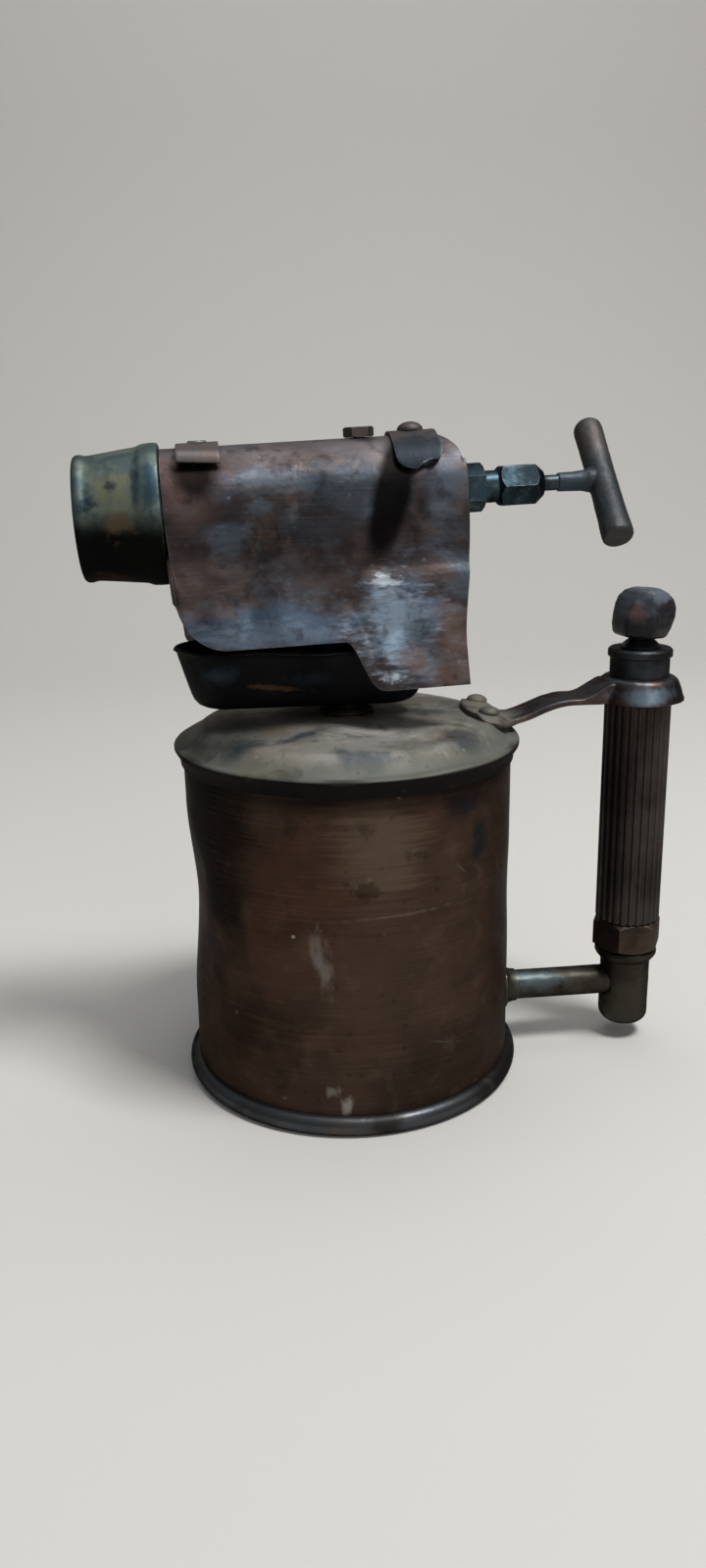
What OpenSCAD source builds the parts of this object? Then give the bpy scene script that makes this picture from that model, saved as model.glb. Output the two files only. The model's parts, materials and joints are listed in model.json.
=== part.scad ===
// Pressure blowlamp with a brass tank, a shielded burner and an outside pump that is also the handle.
// Millimetres. The origin is on the tank's axis at table height: +X to the pump, -X to the flame, +Z up.

/* [Tank] */
// Outer radius of the tank wall
tank_r = 52; // [46:0.5:58]
// Height of the tank's rim above the table
rim_z = 112; // [95:1:130]
// Thickness of the tank's sheet
sheet_t = 1.2; // [0.8:0.1:1.6]
// How far the rim stands out past the wall
rim_over = 2.4; // [1.8:0.1:3.2]
// Depth of the rim's turned-down skirt
rim_skirt = 6; // [4:0.5:9]
// Width of the raised shoulder, inwards from the wall
shoulder_w = 6.5; // [5:0.5:8]
// Height of the shoulder above the rim
shoulder_h = 5.3; // [4:0.1:7]
// Rise of the crown above the shoulder
crown_rise = 2.2; // [1.4:0.1:3.4]
// Radius of the rolled bead round the base
bead_r = 3.2; // [2.6:0.1:4]
// Depth of the flat ring that the bead stands on
foot_flat = 0.3; // [0.2:0.05:0.5]
// Height of the base plate's flange inside the wall
base_flange_h = 8; // [5:0.5:12]
// How far the middle of the base plate is dished up
base_dish = 3; // [1:0.5:5]

/* [Filler] */
// Distance of the filler's axis from the tank wall
filler_inset = 16; // [15.5:0.5:17]
// Angle of the filler round the tank, from the pump
filler_deg = 110; // [95:1:120]
// Outer radius of the filler neck
filler_neck_r = 8.5; // [8:0.1:9]
// Bore radius of the filler neck
filler_bore_r = 5.5; // [4.5:0.1:6]
// Height of the neck above the tank top
filler_neck_h = 5; // [3:0.5:7]
// Width across the flats of the filler plug
filler_af = 15; // [13:0.5:16]
// Height of the plug's head
filler_head_h = 7; // [5:0.5:9]

/* [Tray] */
// Length of the preheating tray at its rim
tray_len = 80.7; // [76:0.1:84]
// Half the tray's width at its rim
tray_half_w = 16.5; // [15:0.1:17]
// Depth of the tray
tray_h = 17.7; // [15:0.1:20]
// How far the tray's middle lies towards the nozzle
tray_shift = 12.4; // [8:0.1:15]
// Lean of the tray's walls
tray_lean = 16; // [12:0.5:16]
// Radius of the tray's bottom corner
tray_corner = 4; // [3:0.5:4]
// Width of the tray's turned-out lip
tray_lip = 1.2; // [0.8:0.1:1.6]

/* [Burner] */
// Height of the burner's axis above the tray's underside
burner_h = 59.7; // [57:0.1:63]
// Droop of the burner towards the nozzle
burner_tilt = 2.3; // [0:0.1:4]
// Distance from the tank's axis to the nozzle's mouth
nozzle_reach = 78.3; // [74:0.1:84]
// Outer radius of the nozzle's lip
mouth_r = 18.3; // [17.6:0.1:19]
// Radius of the nozzle's collar
collar_r = 20.7; // [20:0.1:22]
// Width of the nozzle's collar
collar_w = 6.2; // [5:0.1:8]
// Distance from the tank's axis to the back of the collar
collar_back = 53.3; // [53.3:0.1:56]
// Outer radius of the flame tube
tube_r = 16.6; // [15.8:0.1:17]
// Wall of the flame tube
tube_wall = 3; // [2.4:0.1:3.6]
// Radius of the riser
riser_r = 7; // [6.6:0.1:8]
// Radius of the riser's threaded foot
riser_foot_r = 5; // [4.6:0.1:5]
// Radius of the fuel channels
channel_r = 2.2; // [1.6:0.1:2.6]
// Radius of the vapour rib under the flame tube
rib_r = 5; // [4.4:0.1:5.4]
// Height of the air windows in the flame tube
window_h = 16; // [10:0.5:18]

/* [Windshield] */
// Air gap between the flame tube and the shield
shield_gap = 1.1; // [1:0.1:2]
// Thickness of the shield's sheet
shield_t = 1; // [0.7:0.1:1.2]
// How far each side panel flares out at its lowest edge
shield_flare = 3; // [1:0.5:5]
// Distance from the tank's axis to the shield's front edge
shield_front = 53; // [48:0.5:53]
// Distance from the tank's axis to the shield's rear edge
shield_back = 35; // [33:0.5:36]
// Depth of the near panel below the burner's axis
panel_drop = 38.5; // [34:0.5:42]
// Depth of the near panel's tab below the burner's axis
tab_drop = 53.5; // [48:0.5:55]
// Width of the tab
tab_w = 26; // [18:0.5:30]
// Depth of the far panel below the burner's axis
far_drop = 47; // [40:0.5:50]
// Radius of the shield's rounded corners
shield_corner = 10; // [6:0.5:12]
// Width of each strap across the shield
strap_w = 12.5; // [10:0.5:15]
// Thickness of the straps
strap_t = 1.2; // [0.8:0.1:1.6]
// Distance of the front strap from the tank's axis
front_strap_u = 42; // [38:0.5:45]
// Distance of the rear strap from the tank's axis
rear_strap_u = 21.5; // [20.5:0.5:22]

/* [Valve] */
// Width across the flats of the valve bonnet
bonnet_af = 12.7; // [12.2:0.1:15]
// Length of the bonnet's hexagon
bonnet_hex_l = 5.9; // [4:0.1:8]
// Radius of the bonnet's neck
neck_r = 4.8; // [4.6:0.1:5.2]
// Length of neck that shows before the gland nut
neck_show = 4.3; // [3:0.1:6]
// Width across the flats of the gland nut
gland_af = 11.6; // [11.2:0.1:13]
// Length of the gland nut's hexagon
gland_hex_l = 10; // [8:0.5:12]
// Length of the gland nut's round end
gland_end_l = 4.3; // [3:0.1:6]
// Radius of the spindle's stem
stem_r = 2.35; // [2.1:0.05:2.6]
// Radius of the spindle's threaded part
thread_r = 3.6; // [3.2:0.1:3.8]
// Height of the valve's axis above the flame tube's axis
valve_rise = 2; // [0:0.1:2.2]
// Travel of the needle between closed and open
valve_lift = 3; // [2:0.5:4]
// Radius of the T-handle's bar
bar_r = 4.4; // [4:0.1:5]
// Length of the T-handle's bar
bar_l = 46; // [40:1:50]
// Turn of the T-handle from upright, at rest
bar_turn = 44; // [0:1:90]

/* [Pump] */
// Gap for the fingers between the tank and the grip
finger_gap = 33; // [30:0.25:38]
// Outer radius of the grip
grip_r = 10.65; // [10.2:0.05:11.4]
// Number of flutes round the grip
flute_n = 26; // [20:1:30]
// Radius of a flute
flute_r = 1; // [0.8:0.1:1.1]
// Outer radius of the pump barrel
barrel_r = 8; // [7.4:0.1:8.4]
// Bore radius of the pump barrel
barrel_bore_r = 7; // [6.2:0.1:7.2]
// Radius of the pump rod
rod_r = 2.5; // [2:0.1:3]
// Half the width across the knob's flats
knob_r = 9.3; // [8.5:0.1:10.5]
// Height of the knob
knob_h = 16; // [13:0.5:19]
// Clearance between the knob's path and the T-handle
knob_clear = 1.3; // [1.3:0.1:3]
// Radius of the pump cap's skirt
cap_r = 9.5; // [9.4:0.1:10.2]
// Radius of the pump cap's flange
cap_flange_r = 10.25; // [10.2:0.05:11.5]
// Height of the pump cap's skirt
cap_skirt_h = 5.6; // [4:0.1:8]
// Thickness of the pump cap's top
cap_top_t = 3.5; // [2.5:0.1:5]
// Radius of the rod guide at its base
guide_r = 6.3; // [5.6:0.1:7.5]
// Height of the rod guide's cone
guide_h = 3; // [2:0.1:4.5]
// Width across the flats of the base nut
base_nut_af = 20.5; // [19:0.1:23]
// Height of the base nut
base_nut_h = 10.5; // [9:0.5:14]
// Outer radius of the elbow
elbow_r = 8.35; // [8:0.05:9]
// Height of the elbow's rounded end above the table
elbow_z = 5; // [1:0.5:6]
// Height of the feed pipe's axis above the table
pipe_z = 20.4; // [19:0.1:21]
// Outer radius of the feed pipe
pipe_r = 5; // [4.6:0.05:5.4]
// Bore radius of the feed pipe
pipe_bore_r = 3.4; // [2.6:0.1:3.8]

/* [Bracket] */
// Thickness of the bracket's strap
bracket_t = 1.8; // [1.4:0.1:2.2]
// Step from the bracket's foot up to its collar
bracket_step = 2.3; // [1.5:0.1:3]
// Radius of the collar's flared edge
bell_r = 14.75; // [14:0.05:17]
// Radius of the collar's top
bell_top_r = 10.5; // [10.3:0.1:11.5]
// Height of the collar
bell_h = 7.7; // [7:0.1:12]
// Half the width of the bracket's arm
arm_half_w = 7.5; // [6:0.5:10]
// Half the length of the bracket's foot
foot_half_l = 15; // [12.5:0.5:18]
// Half the distance between the two rivets
rivet_half = 9.2; // [7:0.1:9.5]
// Radius of a rivet's head
rivet_head_r = 3.4; // [2.8:0.1:4]

/* [Hidden] */
$fn = 96;

// Clearances: fixed fit, running fit, and open running gap
fit = 0.05;
run_fit = 0.08;
run_gap = 0.3;
over = 1;

// Tank levels
shell_in_r = tank_r - sheet_t;
bead_z = bead_r - foot_flat;
shell_z0 = bead_z + bead_r;
shell_z1 = rim_z - sheet_t - fit;
dome_edge_r = tank_r - shoulder_w;
dome_edge_z = rim_z + shoulder_h;
crown_z = dome_edge_z + crown_rise;
shoulder_n = 10;
dome_n = 10;
dome_ball_r = (dome_edge_r * dome_edge_r + crown_rise * crown_rise) / (2 * crown_rise);
function dome_z(r) = crown_z - dome_ball_r + sqrt(dome_ball_r * dome_ball_r - r * r);

// Burner socket and riser
socket_flange_r = 8.6;
socket_flange_t = 1.2;
socket_neck_r = riser_foot_r + 1.6;
socket_neck_h = 4.8;
socket_r = riser_foot_r + 2;
socket_depth = 10;
riser_sink = 6;
dip_r = 4;
dip_bore_r = 2.8;
dip_clear = 4;
seat_z = dome_z(socket_flange_r);
tray_z = seat_z + socket_neck_h;
riser_nut_h = 5;
riser_nut_af = 2 * riser_foot_r + 4;
riser_nut_z = tray_z + sheet_t;
burner_z = tray_z + burner_h;

// Stations along the burner's axis
nozzle_socket = 3.7;
nozzle_root_r = tube_r + 2.4;
nozzle_waist_r = mouth_r - 1;
lip_w = 3;
mouth_bore_r = mouth_r - 2.2;
tube_bore_r = tube_r - tube_wall;
tube_u0 = -collar_back - nozzle_socket;
window_u0 = 6.5;
window_u1 = 16;
rear_wall_u = 17;
rear_wall_t = 7;
rear_boss_r = 9.5;
shank_r = thread_r + 2.4;
shank_l = 9;
bonnet_u = shield_back + 2.3;
jet_boss_r = 5.5;
jet_boss_l = 6.5;
jet_r = 2.6;
jet_head_r = 3.6;
jet_head_l = 4;
jet_hole_r = 0.4;
jet_bore_u = rear_wall_u + 0.5;
chamber_u = rear_wall_u + 2.5;
chamber_r = thread_r + 0.6;
seat_hole_r = 1.2;
channel_u = rear_wall_u + rear_wall_t / 2;
riser_bore_r = channel_r + 0.6;
duct_r = channel_r - 0.4;

// Shield and its fasteners
shield_in_r = tube_r + shield_gap;
shield_r = shield_in_r + shield_t;
left_slant = 3;
right_slant = 2.5;
panel_tuck = 0.3;
step_w = 9;
step_n = 8;
corner_n = 8;
far_corner = 6;
shield_boss_r = 4.5;
screw_r = 1.7;
screw_hole_r = screw_r + fit;
screw_u = 6;
screw_af = 8;
screw_head_h = 3;
front_hug = 15;
front_lip = 14;
rear_hug = 25;
rear_lip = 12;
strap_n = 12;
dome_head_r = 3.9;
dome_head_h = 2.4;
flat_head_r = 3;
flat_head_h = 0.5;

// Valve
neck_u = bonnet_u + bonnet_hex_l;
packing_l = 4;
packing_proud = 1;
neck_l = neck_show + packing_l + 1;
neck_end = neck_u + neck_l;
packing_r = neck_r - 1.1;
gland_u = neck_u + neck_show;
gland_end_u = gland_u + gland_hex_l + gland_end_l;
gland_end_r = gland_af / 2 - 0.5;
gland_turn = 30;
stem_hole_r = stem_r + run_fit;
thread_hole_r = thread_r + run_fit;
thread_l = 8;
needle_r = 2;
needle_tip_r = 0.5;
needle_cone_l = 4;
needle_dip = 1.5;
tip_u = chamber_u - needle_dip + valve_lift;
thread_u = bonnet_u - shank_l + 1.5;

// Pump and its levels
pump_x = tank_r + finger_gap + grip_r;
bar_u = (pump_x - knob_r - bar_r - knob_clear) / cos(burner_tilt);
foot_x = dome_edge_r - 1.5;
foot_deg = asin(foot_x / dome_ball_r);
ring_z = dome_z(foot_x) + bracket_step;
cap_z = ring_z + bell_h;
cap_top_z = cap_z + cap_skirt_h + cap_top_t;
knob_z = cap_top_z + guide_h + run_gap;
elbow_neck = 4.8;
elbow_top = pipe_z + pipe_r + elbow_neck;
elbow_rim_h = 2.8;
elbow_rim_r = elbow_r + 0.7;
nut_z = elbow_top + elbow_rim_h;
spigot_r = barrel_bore_r - 0.4;
spigot_h = 4.5;
washer_z = nut_z + spigot_h;
washer_t = 1;
barrel_z = washer_z + washer_t;
barrel_top = cap_z + cap_skirt_h - fit;
grip_z0 = nut_z + base_nut_h + 0.5;
grip_z1 = ring_z + 0.4;
elbow_bore_r = 4.6;
elbow_floor = 4;
elbow_round = 4;
pipe_sink = 2.6;
pipe_end = pump_x - elbow_r + pipe_sink;
pipe_start = tank_r - 2.5;
pipe_collar_r = pipe_r + 2.6;
pipe_collar_l = 4;

// Non-return valve
seat_t = 3.5;
air_hole_r = 1.8;
pad_t = 0.8;
disc_t = 1.7;
disc_r = elbow_bore_r - 0.6;
valve_seat_z = washer_z - seat_t;
disc_z = valve_seat_z - pad_t - disc_t;
spring_z = elbow_z + elbow_floor + fit;
spring_h = disc_z - fit - spring_z;
spring_wire_r = 0.45;
spring_r = disc_r - 0.8;
spring_turns = 6;
spring_rings = 8;
spring_sides = 6;

// Piston
piston_z = barrel_z + 2;
piston_nut_h = 3;
piston_nut_af = 7;
leather_h = 7;
leather_t = 1.4;
leather_r = barrel_bore_r - run_fit;
plate_t = 2;
plate_r = barrel_bore_r - 0.6;
rod_foot_r = rod_r - 0.6;
plate_z = piston_z + leather_h;
rod_shoulder = plate_z + plate_t;
guide_shank_r = rod_r + 1.6;
guide_shank_l = cap_top_t + 1.5;
rod_sink = 11;

// Bracket
foot_len = 13;
foot_back = 7;
foot_corner = 3;
dip_run = 6;
dip_x = dome_edge_r + dip_run - 1;
dip_z = rim_z + shoulder_h * 0.4;
arm_rise = 21;
arm_n = 36;
web_len = 13;
web_x = pump_x - bell_r - 7;
bell_n = 6;
bell_round = 2.4;
rivet_r = 2;
rivet_head_h = 1.9;
rivet_tail = 1.2;

// Filler
filler_r = tank_r - filler_inset;
filler_x = filler_r * cos(filler_deg);
filler_y = filler_r * sin(filler_deg);
filler_top = dome_z(filler_r) + filler_neck_h;
filler_sink = 9;
filler_washer_t = 1.2;
filler_plug_l = 9;

function arc(cx, cy, r, a0, a1, n) =
    [for (i = [0 : n]) let (a = a0 + (a1 - a0) * i / n) [cx + r * cos(a), cy + r * sin(a)]];
function ease(t) = let (s = min(max(t, 0), 1)) s * s * (3 - 2 * s);
function mix(a, b, t) = a + (b - a) * t;
function reversed(v) = [for (i = [len(v) - 1 : -1 : 0]) v[i]];

// Frame of the burner: x runs along its drooping axis
module on_burner() {
    translate([0, 0, burner_z])
        rotate([0, -burner_tilt, 0])
            children();
}

// Frame of the valve, raised from the burner's axis
module on_valve() {
    on_burner()
        translate([0, 0, valve_rise])
            children();
}

// Frame of the pump: z runs along its upright axis
module on_pump() {
    translate([pump_x, 0, 0])
        children();
}

// Frame of the bracket's foot, lying on the tank top
module on_foot() {
    translate([foot_x, 0, dome_z(foot_x) + fit])
        rotate([0, foot_deg, 0])
            children();
}

// Body of revolution about x, from a profile of radius and station
module turned_x(profile) {
    rotate([0, 90, 0])
        rotate_extrude()
            polygon(profile);
}

module turned_z(profile) {
    rotate_extrude()
        polygon(profile);
}

// Section in y and z, run along x
module along_x(x0, x1) {
    translate([x0, 0, 0])
        rotate([90, 0, 90])
            linear_extrude(x1 - x0)
                children();
}

// Outline in x and z, run across y
module across_y(y0, y1) {
    translate([0, y1, 0])
        rotate([90, 0, 0])
            linear_extrude(y1 - y0)
                children();
}

// Hexagon bar with chamfered corners
module hex_bar(af, h) {
    corner = af / 2 / cos(30);
    chamfer = (corner - af / 2) * tan(30);
    intersection() {
        cylinder(r = corner, h = h, $fn = 6);
        turned_z([[0, 0], [af / 2, 0], [corner, chamfer], [corner, h - chamfer], [af / 2, h], [0, h]]);
    }
}

module hex_x(af, u0, l) {
    translate([u0, 0, 0])
        rotate([0, 90, 0])
            hex_bar(af, l);
}

module rod_x(r, u0, u1) {
    turned_x([[0, u0], [r, u0], [r, u1], [0, u1]]);
}

module tube_z(r_out, r_in, z0, z1) {
    turned_z([[r_in, z0], [r_out, z0], [r_out, z1], [r_in, z1]]);
}

module tank_base() {
    flange_r = shell_in_r - fit;
    color("#4f4a4a")
        rotate_extrude() {
            intersection() {
                translate([tank_r, bead_z])
                    circle(bead_r);
                translate([tank_r - 2 * bead_r, 0])
                    square([4 * bead_r, 4 * bead_r]);
            }
            translate([flange_r - sheet_t, bead_z])
                square([sheet_t, bead_r + base_flange_h]);
            polygon([
                [0, bead_z + base_dish], [flange_r - sheet_t / 2, bead_z],
                [flange_r - sheet_t / 2, bead_z + sheet_t], [0, bead_z + base_dish + sheet_t]
            ]);
        }
}

module tank_shell() {
    color("#5a4238")
        difference() {
            tube_z(tank_r, shell_in_r, shell_z0, shell_z1);
            translate([0, 0, pipe_z])
                rod_x(pipe_r + fit, 0, tank_r + over);
        }
}

// Profile of the tank top, shifted by its sheet's thickness for the underside
function top_line(dr, dz) = concat(
    [for (i = [0 : shoulder_n]) let (t = i / shoulder_n, r = mix(tank_r - sheet_t, dome_edge_r, t))
        [r - dr, mix(rim_z, dome_edge_z, ease(t)) - dz]],
    [for (i = [1 : dome_n]) let (r = mix(dome_edge_r, socket_flange_r, i / dome_n)) [r - dr, dome_z(r) - dz]],
    [[0, seat_z - dz]]
);

module tank_top() {
    skirt_r = tank_r + fit;
    rim_r = tank_r + rim_over;
    rim_edge = 0.6;
    color("#8b7a55")
        difference() {
            turned_z(concat(
                [[skirt_r, rim_z - rim_skirt], [skirt_r + sheet_t * 0.6, rim_z - rim_skirt],
                 [rim_r, rim_z - sheet_t - rim_edge], [rim_r, rim_z - rim_edge], [rim_r - rim_edge, rim_z]],
                top_line(0, 0),
                reversed(top_line(sheet_t * 0.7, sheet_t)),
                [[skirt_r, rim_z - sheet_t]]
            ));
            translate([0, 0, seat_z - socket_depth])
                cylinder(r = socket_r + fit, h = 2 * socket_depth);
            translate([filler_x, filler_y, filler_top - 2 * filler_sink])
                cylinder(r = filler_neck_r + fit, h = 3 * filler_sink);
            on_foot()
                rivet_holes();
        }
}

module burner_socket() {
    color("#6d5f42")
        turned_z([
            [dip_r + fit, seat_z - socket_depth], [socket_r, seat_z - socket_depth], [socket_r, seat_z],
            [socket_flange_r, seat_z], [socket_flange_r, seat_z + socket_flange_t],
            [socket_neck_r, seat_z + socket_flange_t], [socket_neck_r, tray_z], [riser_foot_r + fit, tray_z],
            [riser_foot_r + fit, seat_z - riser_sink], [dip_r + fit, seat_z - riser_sink]
        ]);
}

module dip_tube() {
    color("#7a6a44")
        tube_z(dip_r, dip_bore_r, bead_z + base_dish + sheet_t + dip_clear, seat_z - riser_sink - fit);
}

module filler_neck() {
    color("#7d6c48")
        translate([filler_x, filler_y, 0])
            tube_z(filler_neck_r, filler_bore_r, filler_top - filler_neck_h - filler_sink, filler_top);
}

module filler_washer() {
    color("#3a332c")
        translate([filler_x, filler_y, 0])
            tube_z(filler_neck_r - 0.5, filler_bore_r, filler_top + fit, filler_top + fit + filler_washer_t);
}

module filler_plug() {
    head_z = filler_top + filler_washer_t + 2 * fit;
    color("#75643f")
        translate([filler_x, filler_y, 0]) {
            translate([0, 0, head_z])
                hex_bar(filler_af, filler_head_h);
            translate([0, 0, head_z - filler_plug_l])
                cylinder(r = filler_bore_r - run_fit, h = filler_plug_l + filler_head_h / 2);
        }
}

// Tray wall, as a path at a distance o inside the outer face, up to height top
function tray_path(o, top) =
    let (
        lean = tray_lean,
        rim_in = tray_half_w - tray_lip,
        run = tray_h - tray_corner + tray_corner * sin(lean),
        foot_r = rim_in - run * tan(lean) - tray_corner * cos(lean),
        r1 = foot_r + (tray_corner - o) * cos(lean),
        z1 = tray_corner - (tray_corner - o) * sin(lean)
    )
    concat(
        [[0, o]],
        arc(foot_r, tray_corner, tray_corner - o, -90, -lean, corner_n),
        [[r1 + (top - z1) * tan(lean), top]]
    );

module tray_form(path) {
    half = tray_len / 2 - tray_half_w;
    for (s = [-1, 1])
        translate([s * half, 0, 0])
            turned_z(path);
    along_x(-half, half)
        for (s = [0, 1])
            mirror([s, 0])
                polygon(path);
}

module preheat_tray() {
    lip_z = tray_h - sheet_t;
    color("#2b2728")
        difference() {
            translate([-tray_shift, 0, tray_z])
                difference() {
                    union() {
                        tray_form(concat(tray_path(0, tray_h), [[0, tray_h]]));
                        tray_form([[0, lip_z], [tray_half_w, lip_z], [tray_half_w, tray_h], [0, tray_h]]);
                    }
                    tray_form(concat(tray_path(sheet_t, tray_h + over), [[0, tray_h + over]]));
                }
            translate([0, 0, tray_z - over])
                cylinder(r = riser_foot_r + fit, h = sheet_t + 2 * over);
        }
}

module riser_nut() {
    color("#33302e")
        difference() {
            translate([0, 0, riser_nut_z])
                hex_bar(riser_nut_af, riser_nut_h);
            cylinder(r = riser_foot_r + fit, h = 2 * burner_z);
        }
}

// Bosses on the burner that carry the shield's fasteners
module shield_bosses() {
    intersection() {
        rod_x(shield_in_r - fit, tube_u0, bonnet_u);
        for (u = [-front_strap_u, screw_u, rear_strap_u])
            translate([u, 0, tube_r - tube_wall / 2])
                cylinder(r = shield_boss_r, h = shield_r);
    }
}

module burner_casting() {
    riser_top = burner_z - tube_bore_r - 0.5;
    rib_w = -tube_r - 1;
    color("#4a423a")
        difference() {
            union() {
                on_burner() {
                    difference() {
                        union() {
                            rod_x(tube_r, tube_u0, rear_wall_u + rear_wall_t);
                            shield_bosses();
                            translate([0, 0, rib_w])
                                rod_x(rib_r, -rib_r, channel_u + rib_r);
                        }
                        rod_x(tube_bore_r, tube_u0 - over, rear_wall_u);
                        translate([window_u0, -2 * tube_r, -window_h / 2])
                            cube([window_u1 - window_u0, 4 * tube_r, window_h]);
                    }
                    translate([0, 0, valve_rise])
                        rod_x(rear_boss_r, rear_wall_u, bonnet_u);
                    rod_x(jet_boss_r, rear_wall_u - jet_boss_l, rear_wall_u + over);
                }
                translate([0, 0, riser_nut_z + riser_nut_h])
                    cylinder(r = riser_r, h = riser_top - riser_nut_z - riser_nut_h);
                translate([0, 0, seat_z - riser_sink + fit])
                    cylinder(r = riser_foot_r, h = riser_nut_z + riser_nut_h - seat_z + riser_sink);
            }
            translate([0, 0, seat_z - riser_sink - over])
                cylinder(r = riser_bore_r, h = burner_z + rib_w - seat_z + riser_sink + over);
            on_burner() {
                translate([0, 0, rib_w])
                    rod_x(channel_r, -channel_r, channel_u + channel_r);
                translate([channel_u, 0, rib_w])
                    cylinder(r = duct_r, h = -rib_w);
                translate([0, 0, valve_rise]) {
                    rod_x(chamber_r, chamber_u, bonnet_u + over);
                    rod_x(shank_r + fit, bonnet_u - shank_l - fit, bonnet_u + over);
                    rod_x(seat_hole_r, jet_bore_u - over, chamber_u + over);
                }
                rod_x(jet_r + fit, rear_wall_u - jet_boss_l - over, jet_bore_u);
                for (u = [-front_strap_u, screw_u, rear_strap_u])
                    translate([u, 0, tube_bore_r + over])
                        cylinder(r = screw_hole_r, h = shield_r);
            }
        }
}

module nozzle() {
    back = -collar_back;
    root = back - collar_w;
    mouth = -nozzle_reach;
    color("#77694a")
        on_burner()
            turned_x([
                [tube_r + fit, back], [collar_r - 0.5, back], [collar_r, back - 0.5], [collar_r, root + 0.5],
                [collar_r - 0.5, root], [nozzle_root_r, root - 0.5], [nozzle_waist_r, mouth + lip_w + 1.2],
                [mouth_r, mouth + lip_w], [mouth_r, mouth + 0.8], [mouth_r - 0.8, mouth],
                [mouth_bore_r, mouth], [tube_bore_r, tube_u0 - fit], [tube_r + fit, tube_u0 - fit]
            ]);
}

module jet_nipple() {
    u1 = rear_wall_u - jet_boss_l - fit;
    u0 = u1 - jet_head_l;
    color("#a08a4c")
        on_burner()
            turned_x([
                [jet_hole_r, u0 - 1], [1.2, u0 - 1], [jet_head_r, u0 + 0.6], [jet_head_r, u1],
                [jet_r, u1], [jet_r, jet_bore_u - 2], [seat_hole_r, jet_bore_u - 2],
                [seat_hole_r, u0 + 1.5], [jet_hole_r, u0 + 1]
            ]);
}

// Solid of the shield's outline in y and z: a round arch with flared side panels
module shield_form(r, drop) {
    u0 = -shield_front - over;
    u1 = shield_back + over;
    flare = shield_flare * drop / tab_drop;
    top_y = r - panel_tuck;
    rod_x(r, u0, u1);
    along_x(u0, u1)
        polygon([[-top_y, 0], [top_y, 0], [r + flare, -drop], [-r - flare, -drop]]);
}

// Rear edge and rounded top corner, shared by both panels
function shield_rear_edge() = concat(
    arc(shield_back - shield_corner, shield_r - shield_corner, shield_corner, 0, 90, corner_n),
    [[shield_back - shield_corner, shield_r + over], [-shield_front, shield_r + over]]
);

module near_panel_outline() {
    tab_u = shield_back - tab_w;
    left_u = -shield_front + left_slant;
    polygon(concat(
        arc(left_u + shield_corner, shield_corner - panel_drop, shield_corner, 180, 270, corner_n),
        [for (i = [0 : step_n]) let (t = i / step_n)
            [tab_u - step_w * (1 - t), -mix(panel_drop, tab_drop, ease(t))]],
        [[shield_back - right_slant, -tab_drop]],
        shield_rear_edge()
    ));
}

module far_panel_outline() {
    left_u = -shield_front + left_slant;
    polygon(concat(
        arc(left_u + far_corner, far_corner - far_drop, far_corner, 180, 270, corner_n),
        arc(shield_back - far_corner, far_corner - far_drop, far_corner, 270, 360, corner_n),
        shield_rear_edge()
    ));
}

module windshield() {
    reach = 2 * shield_r;
    color("#5d4a48")
        on_burner()
            difference() {
                intersection() {
                    difference() {
                        shield_form(shield_r, tab_drop);
                        shield_form(shield_in_r, tab_drop + over);
                    }
                    union() {
                        across_y(-reach, over)
                            near_panel_outline();
                        across_y(-over, reach)
                            far_panel_outline();
                    }
                }
                for (u = [-front_strap_u, screw_u, rear_strap_u])
                    translate([u, 0, 0])
                        cylinder(r = screw_hole_r, h = reach);
            }
}

// Strap that hugs the shield's arch for hug degrees each way, then stands off it as a straight lip
function strap_line(r, hug, lip) = concat(
    [[r * sin(hug) + lip * cos(hug), r * cos(hug) - lip * sin(hug)]],
    arc(0, 0, r, 90 - hug, 90 + hug, strap_n),
    [[-r * sin(hug) - lip * cos(hug), r * cos(hug) - lip * sin(hug)]]
);

module strap(u, hug, lip) {
    on_burner()
        difference() {
            along_x(u - strap_w / 2, u + strap_w / 2)
                polygon(concat(
                    strap_line(shield_r + fit, hug, lip),
                    reversed(strap_line(shield_r + fit + strap_t, hug, lip))
                ));
            translate([u, 0, 0])
                cylinder(r = screw_hole_r, h = 2 * shield_r);
        }
}

module front_strap() {
    color("#6f6263")
        strap(-front_strap_u, front_hug, front_lip);
}

// The rear strap's lips have round ends
module rear_strap() {
    round_y = (shield_r + strap_t) * sin(rear_hug) + rear_lip * cos(rear_hug) - strap_w / 2;
    color("#787a80")
        intersection() {
            strap(rear_strap_u, rear_hug, rear_lip);
            on_burner()
                translate([rear_strap_u, 0, 0])
                    linear_extrude(2 * shield_r) {
                        square([strap_w, 2 * round_y], center = true);
                        for (s = [-1, 1])
                            translate([0, s * round_y])
                                circle(strap_w / 2);
                    }
        }
}

// Shank of a fastener, from its head's seat down into the burner's boss
module screw_shank(seat) {
    tip = tube_bore_r + over + fit;
    translate([0, 0, tip])
        cylinder(r = screw_r, h = seat - tip + fit);
}

module strap_rivet() {
    seat = shield_r + strap_t + 2 * fit;
    color("#5f5354")
        on_burner()
            translate([-front_strap_u, 0, 0]) {
                screw_shank(seat);
                translate([0, 0, seat])
                    turned_z([[0, 0], [flat_head_r, 0], [flat_head_r - 0.5, flat_head_h], [0, flat_head_h]]);
            }
}

module strap_screw() {
    seat = shield_r + strap_t + 2 * fit;
    color("#6a6562")
        on_burner()
            translate([rear_strap_u, 0, 0]) {
                screw_shank(seat);
                translate([0, 0, seat])
                    turned_z(concat([[0, 0]], [for (i = [0 : corner_n]) let (a = 90 * i / corner_n)
                        [dome_head_r * cos(a), dome_head_h * sin(a)]]));
            }
}

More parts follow.
